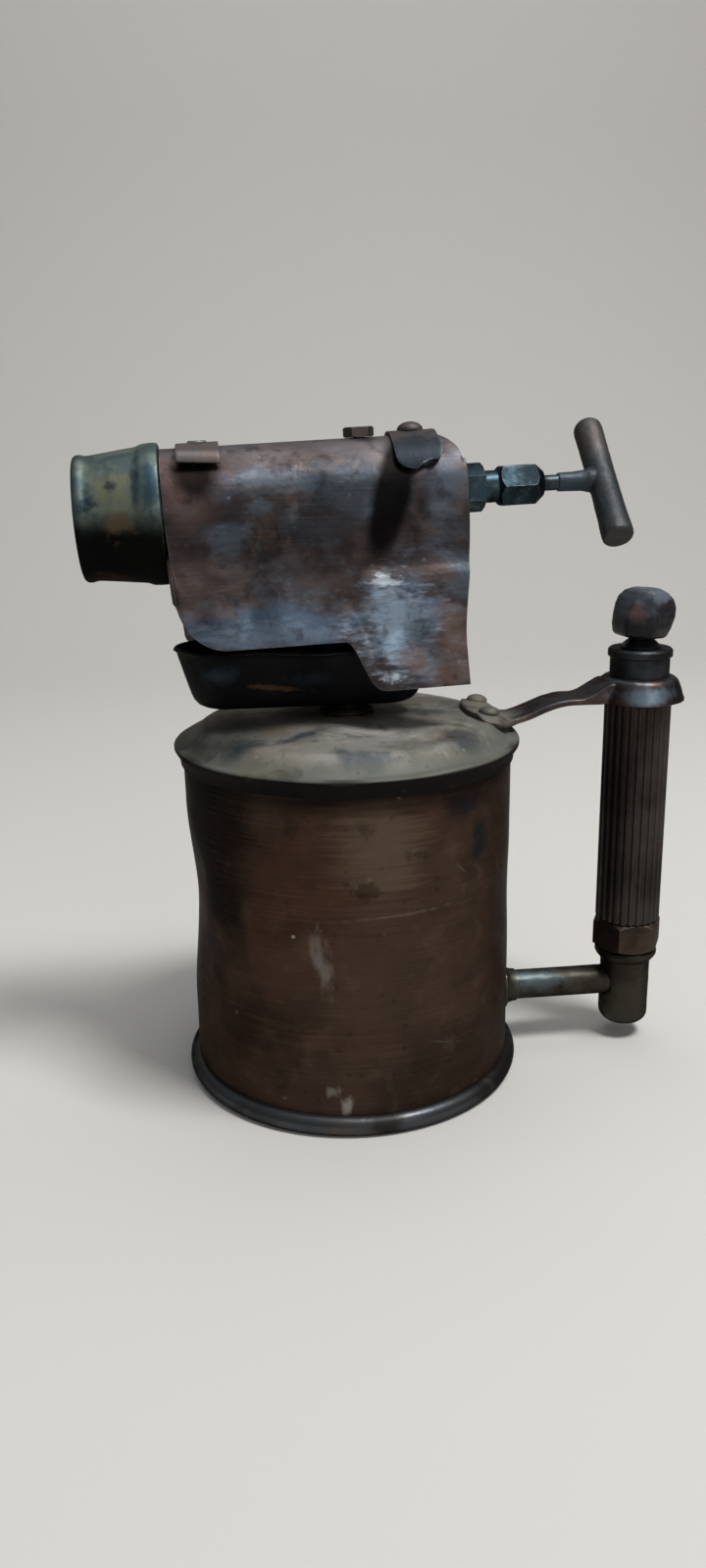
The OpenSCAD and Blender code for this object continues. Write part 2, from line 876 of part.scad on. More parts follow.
module shield_screw() {
    seat = shield_r + fit;
    color("#5c5654")
        on_burner()
            translate([screw_u, 0, 0]) {
                screw_shank(seat);
                translate([0, 0, seat])
                    hex_bar(screw_af, screw_head_h);
            }
}

module valve_bonnet() {
    thread_end = bonnet_u + bonnet_hex_l - 2;
    color("#4b5554")
        on_valve()
            difference() {
                union() {
                    rod_x(shank_r, bonnet_u - shank_l, bonnet_u + over);
                    hex_x(bonnet_af, bonnet_u + fit, bonnet_hex_l - fit);
                    rod_x(neck_r, neck_u - over, neck_end);
                }
                rod_x(thread_hole_r, bonnet_u - shank_l - over, thread_end);
                rod_x(stem_hole_r, thread_end - over, neck_end);
                rod_x(packing_r, neck_end - packing_l, neck_end + over);
            }
}

module gland_packing() {
    u0 = neck_end - packing_l + fit;
    u1 = neck_end + packing_proud - fit;
    color("#c9c0a8")
        on_valve()
            turned_x([
                [stem_hole_r, u0], [packing_r - fit, u0], [packing_r - fit, u1], [stem_hole_r, u1]
            ]);
}

module gland_nut() {
    hex_end = gland_u + gland_hex_l;
    color("#4d5958")
        on_valve()
            difference() {
                union() {
                    rotate([gland_turn, 0, 0])
                        hex_x(gland_af, gland_u, gland_hex_l);
                    turned_x([
                        [0, hex_end - over], [gland_end_r, hex_end - over], [gland_end_r, gland_end_u - 0.8],
                        [gland_end_r - 0.8, gland_end_u], [0, gland_end_u]
                    ]);
                }
                rod_x(neck_r + fit, gland_u - over, neck_end + packing_proud);
                rod_x(stem_hole_r, gland_u, gland_end_u + over);
            }
}

module valve_spindle() {
    thread_end = thread_u + thread_l;
    color("#6b6a66")
        on_valve()
            turned_x([
                [0, tip_u], [needle_tip_r, tip_u], [needle_r, tip_u + needle_cone_l], [needle_r, thread_u],
                [thread_r, thread_u], [thread_r, thread_end], [stem_r, thread_end],
                [stem_r, bar_u + 0.7], [0, bar_u + 0.7]
            ]);
}

module t_handle() {
    boss_r = stem_r + 1.2;
    boss_l = 5;
    boss_u = bar_u - bar_r - boss_l;
    fillet = bar_r - boss_r + 2;
    end_round = 2.6;
    end_chamfer = 0.6;
    half = bar_l / 2;
    color("#5b5652")
        on_valve()
            difference() {
                union() {
                    translate([bar_u, 0, 0])
                        rotate([-bar_turn, 0, 0])
                            turned_z(concat(
                                [[0, -half], [bar_r - end_chamfer, -half], [bar_r, end_chamfer - half]],
                                arc(bar_r - end_round, half - end_round, end_round, 0, 90, corner_n),
                                [[0, half]]
                            ));
                    turned_x(concat(
                        [[0, boss_u], [boss_r - 0.4, boss_u], [boss_r, boss_u + 0.4]],
                        arc(boss_r + fillet, bar_u - bar_r + 1 - fillet, fillet, 180, 115, corner_n),
                        [[0, bar_u]]
                    ));
                }
                rod_x(stem_hole_r, boss_u - over, bar_u + over);
            }
}

module feed_pipe() {
    color("#6a614a")
        translate([0, 0, pipe_z])
            turned_x([
                [pipe_bore_r, pipe_start], [pipe_r, pipe_start], [pipe_r, pipe_end], [pipe_bore_r, pipe_end]
            ]);
}

// Collar of solder where the pipe meets the tank wall
module pipe_collar() {
    flare = pipe_collar_r - pipe_r;
    color("#7b7258")
        difference() {
            translate([0, 0, pipe_z])
                turned_x(concat(
                    [[pipe_r + fit, pipe_start], [pipe_collar_r, pipe_start], [pipe_collar_r, tank_r + 0.6]],
                    [for (i = [1 : corner_n]) let (a = 90 * i / corner_n)
                        [pipe_collar_r - (flare - 0.5) * sin(a), tank_r + 0.6 + pipe_collar_l * (1 - cos(a))]],
                    [[pipe_r + fit, tank_r + 0.6 + pipe_collar_l]]
                ));
            cylinder(r = tank_r + fit, h = 2 * pipe_z);
        }
}

module pump_elbow() {
    color("#6f664e")
        on_pump()
            difference() {
                turned_z(concat(
                    [[0, elbow_z]],
                    arc(elbow_r - elbow_round, elbow_z + elbow_round, elbow_round, -90, 0, corner_n),
                    [[elbow_r, elbow_top - 0.7], [elbow_rim_r, elbow_top], [elbow_rim_r, nut_z - fit],
                     [spigot_r, nut_z - fit], [spigot_r, washer_z], [0, washer_z]]
                ));
                translate([0, 0, elbow_z + elbow_floor])
                    cylinder(r = elbow_bore_r, h = washer_z);
                translate([-pump_x, 0, pipe_z]) {
                    rod_x(pipe_r + fit, pipe_start, pipe_end + fit);
                    rod_x(pipe_bore_r, pipe_start, pump_x);
                }
            }
}

module check_valve_seat() {
    color("#a48f52")
        on_pump()
            tube_z(elbow_bore_r - fit, air_hole_r, valve_seat_z, washer_z);
}

module check_valve_pad() {
    color("#3d3530")
        on_pump()
            translate([0, 0, disc_z + disc_t])
                cylinder(r = disc_r - 0.4, h = pad_t - fit);
}

module check_valve_disc() {
    color("#a8935a")
        on_pump()
            turned_z([
                [0, disc_z], [spring_r - 1, disc_z], [disc_r, disc_z + 0.4],
                [disc_r, disc_z + disc_t], [0, disc_z + disc_t]
            ]);
}

// Points along the coil, and its least gap to itself
spring_steps = spring_turns * spring_rings;
spring_run = spring_h - 2 * spring_wire_r;
spring_path = [for (i = [0 : spring_steps]) let (a = 360 * i / spring_rings)
    [spring_r * cos(a), spring_r * sin(a), spring_z + spring_wire_r + spring_run * i / spring_steps]];
spring_gap = min([for (i = [0 : spring_steps - spring_rings / 2])
    for (j = [i + spring_rings / 2 : spring_steps])
        norm(spring_path[i] - spring_path[j])]) - 2 * spring_wire_r;
echo(spring_least_gap = spring_gap);

module check_valve_spring() {
    points = [for (i = [0 : spring_steps]) for (k = [0 : spring_sides - 1])
        let (a = 360 * i / spring_rings, b = 360 * k / spring_sides, p = spring_path[i])
        p + spring_wire_r * [cos(b) * cos(a), cos(b) * sin(a), sin(b)]];
    faces = concat(
        [for (i = [0 : spring_steps - 1]) for (k = [0 : spring_sides - 1]) for (half = [0, 1])
            let (
                a = i * spring_sides + k,
                b = i * spring_sides + (k + 1) % spring_sides,
                c = a + spring_sides,
                d = b + spring_sides
            )
            half == 0 ? [a, b, d] : [a, d, c]],
        [for (k = [1 : spring_sides - 2]) [0, k + 1, k]],
        [for (k = [1 : spring_sides - 2]) let (e = spring_steps * spring_sides) [e, e + k, e + k + 1]]
    );
    color("#9a9a96")
        on_pump()
            polyhedron(points, faces);
}

module pump_base_nut() {
    color("#5a4a36")
        on_pump()
            difference() {
                translate([0, 0, nut_z])
                    hex_bar(base_nut_af, base_nut_h);
                cylinder(r = spigot_r + fit, h = 2 * nut_z);
                translate([0, 0, washer_z])
                    cylinder(r = barrel_r + fit, h = base_nut_h);
            }
}

module base_washer() {
    color("#4a3a2c")
        on_pump()
            tube_z(barrel_r - fit, elbow_bore_r - 1, washer_z + fit, barrel_z - fit);
}

module pump_barrel() {
    color("#7b6b46")
        on_pump()
            tube_z(barrel_r, barrel_bore_r, barrel_z, barrel_top);
}

module grip_sleeve() {
    color("#2e2623")
        on_pump()
            translate([0, 0, grip_z0])
                linear_extrude(grip_z1 - grip_z0)
                    difference() {
                        circle(grip_r);
                        circle(barrel_r + fit);
                        for (i = [0 : flute_n - 1])
                            rotate(360 * i / flute_n)
                                translate([grip_r + flute_r * 0.35, 0])
                                    circle(flute_r);
                    }
}

// Underside of the bracket's strap: flat on the tank top, dipping over the shoulder, rising to the collar
function strap_z(x) = mix(
    mix(
        dome_z(foot_x) + fit - (x - foot_x) * tan(foot_deg),
        dip_z,
        ease((x - dome_edge_r) / dip_run)
    ),
    ring_z,
    ease((x - dip_x) / arm_rise)
);

module rivet_holes() {
    for (s = [-1, 1])
        translate([0, s * rivet_half, -2 * bracket_t])
            cylinder(r = rivet_r + fit, h = 6 * bracket_t);
}

module bracket_plan() {
    foot_mid = foot_len / 2 - foot_corner;
    translate([foot_x - foot_back + foot_len / 2, 0])
        for (sx = [-1, 1], sy = [-1, 1])
            translate([sx * foot_mid, sy * (foot_half_l - foot_corner)])
                circle(foot_corner);
    translate([foot_x - foot_back, foot_corner - foot_half_l])
        square([foot_len, 2 * (foot_half_l - foot_corner)]);
    translate([foot_x - foot_back + foot_corner, -foot_half_l])
        square([foot_len - 2 * foot_corner, 2 * foot_half_l]);
    polygon([
        [foot_x, -arm_half_w - 4], [foot_x + foot_len, -arm_half_w], [pump_x, -arm_half_w - 1],
        [pump_x, arm_half_w + 1], [foot_x + foot_len, arm_half_w], [foot_x, arm_half_w + 4]
    ]);
}

// Collar round the pump, as a profile drawn in by o
function bell_line(o) = concat(
    [[bell_r - o, ring_z], [mix(bell_r, bell_top_r, 0.3) - o, mix(ring_z, cap_z, 0.5)]],
    arc(bell_top_r - o, cap_z - bell_round, bell_round, 25, 90, bell_n)
);

module pump_bracket() {
    x0 = foot_x - foot_back - over;
    x1 = pump_x + bell_r + over;
    xs = [for (i = [0 : arm_n]) mix(x0, x1, i / arm_n)];
    web_h = bell_h - bracket_t - 0.6;
    color("#5b4638")
        difference() {
            union() {
                intersection() {
                    across_y(-2 * foot_half_l, 2 * foot_half_l)
                        polygon(concat(
                            [for (x = xs) [x, strap_z(x)]],
                            reversed([for (x = xs)
                                [x, strap_z(x) + bracket_t + web_h * ease((x - web_x) / web_len)]])
                        ));
                    translate([0, 0, ring_z - 10 * bracket_t])
                        linear_extrude(20 * bracket_t)
                            bracket_plan();
                }
                on_pump()
                    turned_z(concat([[0, ring_z]], bell_line(0), [[0, cap_z]]));
            }
            on_pump() {
                translate([0, 0, -bracket_t])
                    turned_z(concat(
                        [[0, ring_z - over], [bell_r - bracket_t, ring_z - over]],
                        bell_line(bracket_t),
                        [[0, cap_z]]
                    ));
                translate([0, 0, ring_z])
                    cylinder(r = barrel_r + fit, h = 2 * bell_h);
            }
            on_foot()
                rivet_holes();
        }
}

module bracket_rivets() {
    tail_z = -sheet_t - 2 * fit;
    color("#6a5140")
        on_foot()
            for (s = [-1, 1])
                translate([0, s * rivet_half, 0]) {
                    turned_z(concat(
                        [[0, bracket_t + fit]],
                        [for (i = [0 : corner_n]) let (a = 90 * i / corner_n)
                            [rivet_head_r * cos(a), bracket_t + fit + rivet_head_h * sin(a)]]
                    ));
                    translate([0, 0, tail_z - rivet_tail])
                        cylinder(r = rivet_r, h = bracket_t + 2 * fit - tail_z + rivet_tail);
                }
}

module pump_cap() {
    flange_z = cap_z + cap_skirt_h + cap_top_t - 2.5;
    color("#4a4440")
        on_pump()
            turned_z([
                [barrel_r + fit, cap_z + fit], [cap_r, cap_z + fit], [cap_r, flange_z - 0.6],
                [cap_flange_r, flange_z], [cap_flange_r, cap_top_z - 0.6], [cap_flange_r - 0.6, cap_top_z],
                [guide_shank_r + fit, cap_top_z], [guide_shank_r + fit, cap_z + cap_skirt_h],
                [barrel_r + fit, cap_z + cap_skirt_h]
            ]);
}

module rod_guide() {
    bore = rod_r + run_fit;
    color("#26221f")
        on_pump()
            turned_z([
                [bore, cap_top_z - guide_shank_l], [guide_shank_r, cap_top_z - guide_shank_l],
                [guide_shank_r, cap_top_z + fit], [guide_r, cap_top_z + fit], [guide_r, cap_top_z + 0.8],
                [guide_shank_r - 0.3, cap_top_z + guide_h], [bore, cap_top_z + guide_h]
            ]);
}

module pump_rod() {
    color("#8d8c88")
        on_pump()
            turned_z([
                [0, piston_z - 0.5], [rod_foot_r, piston_z - 0.5], [rod_foot_r, rod_shoulder],
                [rod_r, rod_shoulder], [rod_r, knob_z + rod_sink - fit], [0, knob_z + rod_sink - fit]
            ]);
}

// Turned knob with ten soft flats, widest above its middle
module pump_knob() {
    flats = 10;
    corner = knob_r / cos(180 / flats);
    color("#3e2a26")
        on_pump()
            translate([0, 0, knob_z])
                difference() {
                    intersection() {
                        turned_z([
                            [0, 0], [corner * 0.74, 0], [corner * 0.86, knob_h * 0.06],
                            [corner * 0.96, knob_h * 0.3], [corner, knob_h * 0.52], [corner, knob_h * 0.64],
                            [corner * 0.93, knob_h * 0.8], [corner * 0.78, knob_h * 0.93],
                            [corner * 0.58, knob_h], [0, knob_h]
                        ]);
                        rotate(180 / flats)
                            cylinder(r = corner, h = knob_h, $fn = flats);
                    }
                    translate([0, 0, -over])
                        cylinder(r = rod_r + fit, h = rod_sink + over);
                }
}

module piston_plate() {
    color("#9b8a55")
        on_pump()
            tube_z(plate_r, rod_foot_r + fit, plate_z, rod_shoulder - fit);
}

// Cup leather, open downwards
module cup_leather() {
    top = plate_z - fit;
    color("#4b3524")
        on_pump()
            turned_z([
                [rod_foot_r + fit, top - leather_t], [leather_r - leather_t, top - leather_t],
                [leather_r - leather_t * 0.7, piston_z], [leather_r, piston_z], [leather_r, top - 1],
                [leather_r - 1, top], [rod_foot_r + fit, top]
            ]);
}

module piston_nut() {
    color("#a39156")
        on_pump()
            difference() {
                translate([0, 0, plate_z - leather_t - 2 * fit - piston_nut_h])
                    hex_bar(piston_nut_af, piston_nut_h);
                cylinder(r = rod_foot_r + fit, h = 2 * plate_z);
            }
}

tank_base();
tank_shell();
tank_top();
burner_socket();
dip_tube();
filler_neck();
filler_washer();
filler_plug();
preheat_tray();
riser_nut();
burner_casting();
nozzle();
jet_nipple();
windshield();
front_strap();
rear_strap();
strap_rivet();
strap_screw();
shield_screw();
valve_bonnet();
gland_packing();
gland_nut();
valve_spindle();
t_handle();
feed_pipe();
pipe_collar();
pump_elbow();
check_valve_seat();
check_valve_pad();
check_valve_disc();
check_valve_spring();
pump_base_nut();
base_washer();
pump_barrel();
grip_sleeve();
pump_bracket();
bracket_rivets();
pump_cap();
rod_guide();
pump_rod();
pump_knob();
piston_plate();
cup_leather();
piston_nut();
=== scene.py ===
import json
import math

import bpy
from mathutils import Matrix, Vector


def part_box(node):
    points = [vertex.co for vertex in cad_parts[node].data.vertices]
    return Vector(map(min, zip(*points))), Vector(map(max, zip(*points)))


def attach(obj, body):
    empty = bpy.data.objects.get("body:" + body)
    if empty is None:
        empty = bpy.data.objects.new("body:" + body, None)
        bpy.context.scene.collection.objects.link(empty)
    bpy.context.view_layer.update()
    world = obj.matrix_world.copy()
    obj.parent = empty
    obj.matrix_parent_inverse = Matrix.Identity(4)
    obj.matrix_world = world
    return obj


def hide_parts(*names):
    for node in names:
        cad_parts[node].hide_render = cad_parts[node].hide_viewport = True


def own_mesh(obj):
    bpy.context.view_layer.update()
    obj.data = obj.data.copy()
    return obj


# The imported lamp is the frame: bodies, nodes and record stay as they come
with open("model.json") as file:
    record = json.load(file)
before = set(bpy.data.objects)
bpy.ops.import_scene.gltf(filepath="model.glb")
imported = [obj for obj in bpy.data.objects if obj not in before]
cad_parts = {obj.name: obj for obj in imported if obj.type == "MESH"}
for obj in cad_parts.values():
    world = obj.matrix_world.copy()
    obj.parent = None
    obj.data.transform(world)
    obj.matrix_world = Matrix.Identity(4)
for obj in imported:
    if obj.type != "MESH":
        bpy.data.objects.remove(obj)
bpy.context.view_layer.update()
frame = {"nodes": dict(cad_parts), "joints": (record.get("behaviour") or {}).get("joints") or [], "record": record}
nodes = frame["nodes"]
bpy.ops.object.select_all(action="DESELECT")
mm = 0.001


# Camera at the photo's angle, worked out for its 720 x 1600 frame
cameraFit = {
    "imageHeight": 1600,
    "focalPixels": 1200,
    "sensor": 36,
    "nearClip": 0.01,
    "distance": 365.3 * mm,
    "height": 201.2 * mm,
    "turn": -6.0,
    "pan": 0.27,
    "pitch": 16.16,
    "roll": -1.02,
}


def makeCamera(fit):
    pan, pitch, roll = (math.radians(fit[key]) for key in ("pan", "pitch", "roll"))
    forward = Vector((math.sin(pan) * math.cos(pitch), math.cos(pan) * math.cos(pitch), -math.sin(pitch)))
    right = Vector((math.cos(pan), -math.sin(pan), 0))
    up = right.cross(forward)
    rolledRight = right * math.cos(roll) + up * math.sin(roll)
    rolledUp = up * math.cos(roll) - right * math.sin(roll)
    place = Matrix((rolledRight, rolledUp, -forward)).transposed().to_4x4()
    place.translation = (0, -fit["distance"], fit["height"])
    data = bpy.data.cameras.new("photoCamera")
    data.sensor_width = fit["sensor"]
    data.lens = fit["sensor"] * fit["focalPixels"] / fit["imageHeight"]
    data.clip_start = fit["nearClip"]
    camera = bpy.data.objects.new("photoCamera", data)
    bpy.context.scene.collection.objects.link(camera)
    camera.matrix_world = Matrix.Rotation(math.radians(fit["turn"]), 4, "Z") @ place
    bpy.context.scene.camera = camera


makeCamera(cameraFit)
bpy.context.scene.view_settings.view_transform = "Standard"
print("camera placed")


# Shader helpers: a node with its sockets filled or linked, and short sums
def put(tree, kind, sockets=None, **settings):
    node = tree.nodes.new("ShaderNode" + kind)
    for name, value in settings.items():
        setattr(node, name, value)
    for key, value in (sockets or {}).items():
        if isinstance(value, bpy.types.NodeSocket):
            tree.links.new(value, node.inputs[key])
        else:
            node.inputs[key].default_value = value
    return node


def calc(tree, operation, *values):
    return put(tree, "Math", dict(enumerate(values)), operation=operation).outputs[0]


def vectorCalc(tree, operation, *values, output="Vector"):
    return put(tree, "VectorMath", dict(enumerate(values)), operation=operation).outputs[output]


def ramp(tree, value, low, high):
    sockets = {"Value": value, "From Min": low, "From Max": high}
    return put(tree, "MapRange", sockets, interpolation_type="SMOOTHSTEP").outputs["Result"]


def mixColour(tree, amount, first, second):
    return put(tree, "Mix", {0: amount, 6: first, 7: second}, data_type="RGBA").outputs[2]


def mixValue(tree, amount, first, second):
    return put(tree, "Mix", {0: amount, 2: first, 3: second}, data_type="FLOAT").outputs[0]


def tint(code):  # six-digit screen colour to linear light
    channels = [int(code[i:i + 2], 16) / 255 for i in (0, 2, 4)]
    linear = [c / 12.92 if c <= 0.04045 else ((c + 0.055) / 1.055) ** 2.4 for c in channels]
    return (*linear, 1.0)


# Effects shared by the finishes. Each is a group with one mask as its output
def startGroup(name, inputs):
    group = bpy.data.node_groups.new(name, "ShaderNodeTree")
    for label, value in inputs.items():
        kind = "NodeSocketVector" if isinstance(value, tuple) else "NodeSocketFloat"
        socket = group.interface.new_socket(name=label, in_out="INPUT", socket_type=kind)
        socket.default_value = value
    group.interface.new_socket(name="Mask", in_out="OUTPUT", socket_type="NodeSocketFloat")
    entry = group.nodes.new("NodeGroupInput").outputs
    mask = group.nodes.new("NodeGroupOutput").inputs["Mask"]
    point = group.nodes.new("ShaderNodeTexCoord").outputs["Object"]
    return group, entry, mask, point


# Noise behind every patch and ragged edge
noiseLook = {"Detail": 5.0, "Roughness": 0.62}
noiseGain = 4.0  # the noise swings about a quarter to each side, and this makes it about one


def raggedNoise(tree, point, scale, warp=0.0):
    sockets = {"Vector": point, "Scale": scale, "Distortion": warp, **noiseLook}
    return put(tree, "TexNoise", sockets).outputs["Fac"]


def roughened(tree, point, scale, ragged, level):
    swing = calc(tree, "SUBTRACT", raggedNoise(tree, point, scale), 0.5)
    return calc(tree, "MULTIPLY_ADD", swing, calc(tree, "MULTIPLY", ragged, noiseGain), level)


def makePatches():
    inputs = {"Scale": 40.0, "Low": 0.45, "High": 0.6, "Warp": 0.3, "Stretch": (1, 1, 1), "Shift": (0, 0, 0)}
    group, entry, mask, point = startGroup("patches", inputs)
    moved = vectorCalc(group, "ADD", point, entry["Shift"])
    stretched = vectorCalc(group, "MULTIPLY", moved, entry["Stretch"])
    noise = raggedNoise(group, stretched, entry["Scale"], warp=entry["Warp"])
    group.links.new(ramp(group, noise, entry["Low"], entry["High"]), mask)


def makePits():
    inputs = {"Scale": 200.0, "Size": 0.3, "Share": 0.3}
    group, entry, mask, point = startGroup("pits", inputs)
    cell = put(group, "TexVoronoi", {"Vector": point, "Scale": entry["Scale"]})
    chance = put(group, "SeparateColor", {"Color": cell.outputs["Color"]}).outputs[0]
    chosen = calc(group, "LESS_THAN", chance, entry["Share"])
    spot = ramp(group, cell.outputs["Distance"], entry["Size"], 0.0)
    group.links.new(calc(group, "MULTIPLY", chosen, spot), mask)


def makeEdgeWear():
    inputs = {"Radius": 0.6 * mm, "Scale": 150.0, "Low": 0.35, "High": 0.6, "Flat": 0.985, "Sharp": 0.86}
    group, entry, mask, point = startGroup("edgeWear", inputs)
    rounded = put(group, "Bevel", {"Radius": entry["Radius"]}, samples=6).outputs["Normal"]
    flat = put(group, "NewGeometry").outputs["Normal"]
    agreement = vectorCalc(group, "DOT_PRODUCT", rounded, flat, output="Value")
    edge = ramp(group, agreement, entry["Flat"], entry["Sharp"])
    broken = ramp(group, raggedNoise(group, point, entry["Scale"]), entry["Low"], entry["High"])
    group.links.new(calc(group, "MULTIPLY", edge, broken), mask)


def makeUpFacing():
    inputs = {"Low": 0.3, "High": 0.95, "Scale": 60.0, "Thin": 0.35, "Full": 0.6}
    group, entry, mask, point = startGroup("upFacing", inputs)
    normal = put(group, "NewGeometry").outputs["Normal"]
    height = put(group, "SeparateXYZ", {"Vector": normal}).outputs["Z"]
    facing = ramp(group, height, entry["Low"], entry["High"])
    broken = ramp(group, raggedNoise(group, point, entry["Scale"]), entry["Thin"], entry["Full"])
    group.links.new(calc(group, "MULTIPLY", facing, broken), mask)


def makeSpotMask():
    inputs = {
        "Centre": (0, 0, 0), "Size": (0.01, 0.01, 0.01), "Turn": (0, 0, 0),
        "Scale": 150.0, "Ragged": 0.6, "Stretch": (1, 1, 1), "Full": 0.2,
    }
    group, entry, mask, point = startGroup("spotMask", inputs)
    offset = vectorCalc(group, "SUBTRACT", point, entry["Centre"])
    turning = {"Vector": offset, "Rotation": entry["Turn"]}
    turned = put(group, "VectorRotate", turning, rotation_type="EULER_XYZ").outputs["Vector"]
    local = vectorCalc(group, "DIVIDE", turned, entry["Size"])
    reach = vectorCalc(group, "LENGTH", local, output="Value")
    stroke = vectorCalc(group, "MULTIPLY", point, entry["Stretch"])
    level = roughened(group, stroke, entry["Scale"], entry["Ragged"], reach)
    group.links.new(ramp(group, level, 1.0, entry["Full"]), mask)


def makeFade():
    inputs = {"From": (0, 0, 0), "To": (0, 0, 1), "Wobble": 0.3, "Scale": 60.0}
    group, entry, mask, point = startGroup("fade", inputs)
    span = vectorCalc(group, "SUBTRACT", entry["To"], entry["From"])
    offset = vectorCalc(group, "SUBTRACT", point, entry["From"])
    along = vectorCalc(group, "DOT_PRODUCT", offset, span, output="Value")
    length = vectorCalc(group, "DOT_PRODUCT", span, span, output="Value")
    share = calc(group, "DIVIDE", along, length)
    level = roughened(group, point, entry["Scale"], entry["Wobble"], share)
    group.links.new(ramp(group, level, 0.0, 1.0), mask)


for makeGroup in (makePatches, makePits, makeEdgeWear, makeUpFacing, makeSpotMask, makeFade):
    makeGroup()
print("effect groups built")


# A finish is a base colour with layers over it: each layer's mask mixes in its colour, roughness and height
layerLooks = ("by", "amount", "colour", "rough", "metal", "height")


def makeFinish(slotName, look):
    material = bpy.data.materials.new(slotName)
    material.use_nodes = True
    tree = material.node_tree
    shader = tree.nodes["Principled BSDF"]
    colour = tint(look["colour"])
    rough = look["rough"]
    metal = look["metal"]
    height = None
    for layer in look["layers"]:
        group = tree.nodes.new("ShaderNodeGroup")
        group.node_tree = bpy.data.node_groups[layer["by"]]
        for label, value in layer.items():
            if label not in layerLooks:
                group.inputs[label].default_value = value
        mask = calc(tree, "MULTIPLY", group.outputs["Mask"], layer.get("amount", 1.0))
        if "colour" in layer:
            colour = mixColour(tree, mask, colour, tint(layer["colour"]))
        if "rough" in layer:
            rough = mixValue(tree, mask, rough, layer["rough"])
        if "metal" in layer:
            metal = mixValue(tree, mask, metal, layer["metal"])
        if "height" in layer:
            raised = calc(tree, "MULTIPLY", mask, layer["height"])
            height = raised if height is None else calc(tree, "ADD", height, raised)
    for label, value in (("Base Color", colour), ("Roughness", rough), ("Metallic", metal)):
        if isinstance(value, bpy.types.NodeSocket):
            tree.links.new(value, shader.inputs[label])
        else:
            shader.inputs[label].default_value = value
    if height is not None:
        bump = put(tree, "Bump", {"Height": height, "Strength": 1.0, "Distance": mm})
        tree.links.new(bump.outputs["Normal"], shader.inputs["Normal"])
    for label, value in look["shader"].items():
        shader.inputs[label].default_value = value
    return material


def layerOf(group, colour, amount, **more):
    return {"by": group, "colour": colour, "amount": amount, **more}


def inMetres(point):
    return tuple(value * mm for value in point)


# A soft patch round a point: real stains and dirt, and also painted highlights, reflections and shade
def stainOrLight(colour, at, size, amount=1.0, **more):
    return layerOf("spotMask", colour, amount, Centre=inMetres(at), Size=inMetres(size), **more)


def sweep(colour, start, end, amount=1.0, **more):
    return layerOf("fade", colour, amount, From=inMetres(start), To=inMetres(end), **more)


def mottle(colour, scale, low, high, amount=1.0, **more):
    return layerOf("patches", colour, amount, Scale=scale, Low=low, High=high, **more)


def specks(colour, scale, size, share, amount=1.0, **more):
    return layerOf("pits", colour, amount, Scale=scale, Size=size, Share=share, **more)


def worn(colour, radius, amount, rough=0.3):
    return layerOf("edgeWear", colour, amount, Radius=radius * mm, rough=rough)


def grain(scale, depth, low=0.3, high=0.7, **more):
    return {"by": "patches", "Scale": scale, "Low": low, "High": high, "height": depth, **more}


def finish(colour, rough, metal, shader, *layers):
    return {"colour": colour, "rough": rough, "metal": metal, "shader": shader, "layers": layers}


# Lines left by the spinning lathe or the polishing belt: noise drawn out along the surface
lathe = {"Warp": 0.0, "Stretch": (0.4, 0.4, 24)}
belt = {"Warp": 0.0, "Stretch": (0.3, 1.0, 20)}

# How stains and painted patches of light or shade break up: flakes, soft clouds, sooty darkening together with
# painted shadow, scuffed metal together with painted sheen, streaks of painted sheen, rings from spinning
flaked = {"Scale": 330.0, "Ragged": 0.5, "Stretch": (1.5, 1.5, 0.6)}
paleFlakes = {**flaked, "rough": 0.55}
soft = {"Scale": 45.0, "Ragged": 0.4}
sootAndShadow = {"rough": 0.5, "Scale": 60.0, "Ragged": 0.1, "Full": 0.55}
thinSootAndShadow = {**sootAndShadow, "Ragged": 0.2, "Full": 0.35}
rubbedAndSheen = {"Scale": 105.0, "Ragged": 0.65, "Stretch": (0.65, 0.9, 1.4)}
sheenStreaks = {"Scale": 420.0, "Ragged": 0.7, "Stretch": (0.4, 0.8, 1.5)}
scratched = {"Scale": 700.0, "Ragged": 0.8, "Stretch": (0.4, 1, 1)}
spun = {"Scale": 130.0, "Ragged": 0.4, "Stretch": (0.25, 0.25, 5)}
spotted = {"Scale": 220.0, "Ragged": 1.0}

aged = {"Specular Tint": tint("8f8882")}
varnished = {"Specular IOR Level": 0.2}
plain = {}
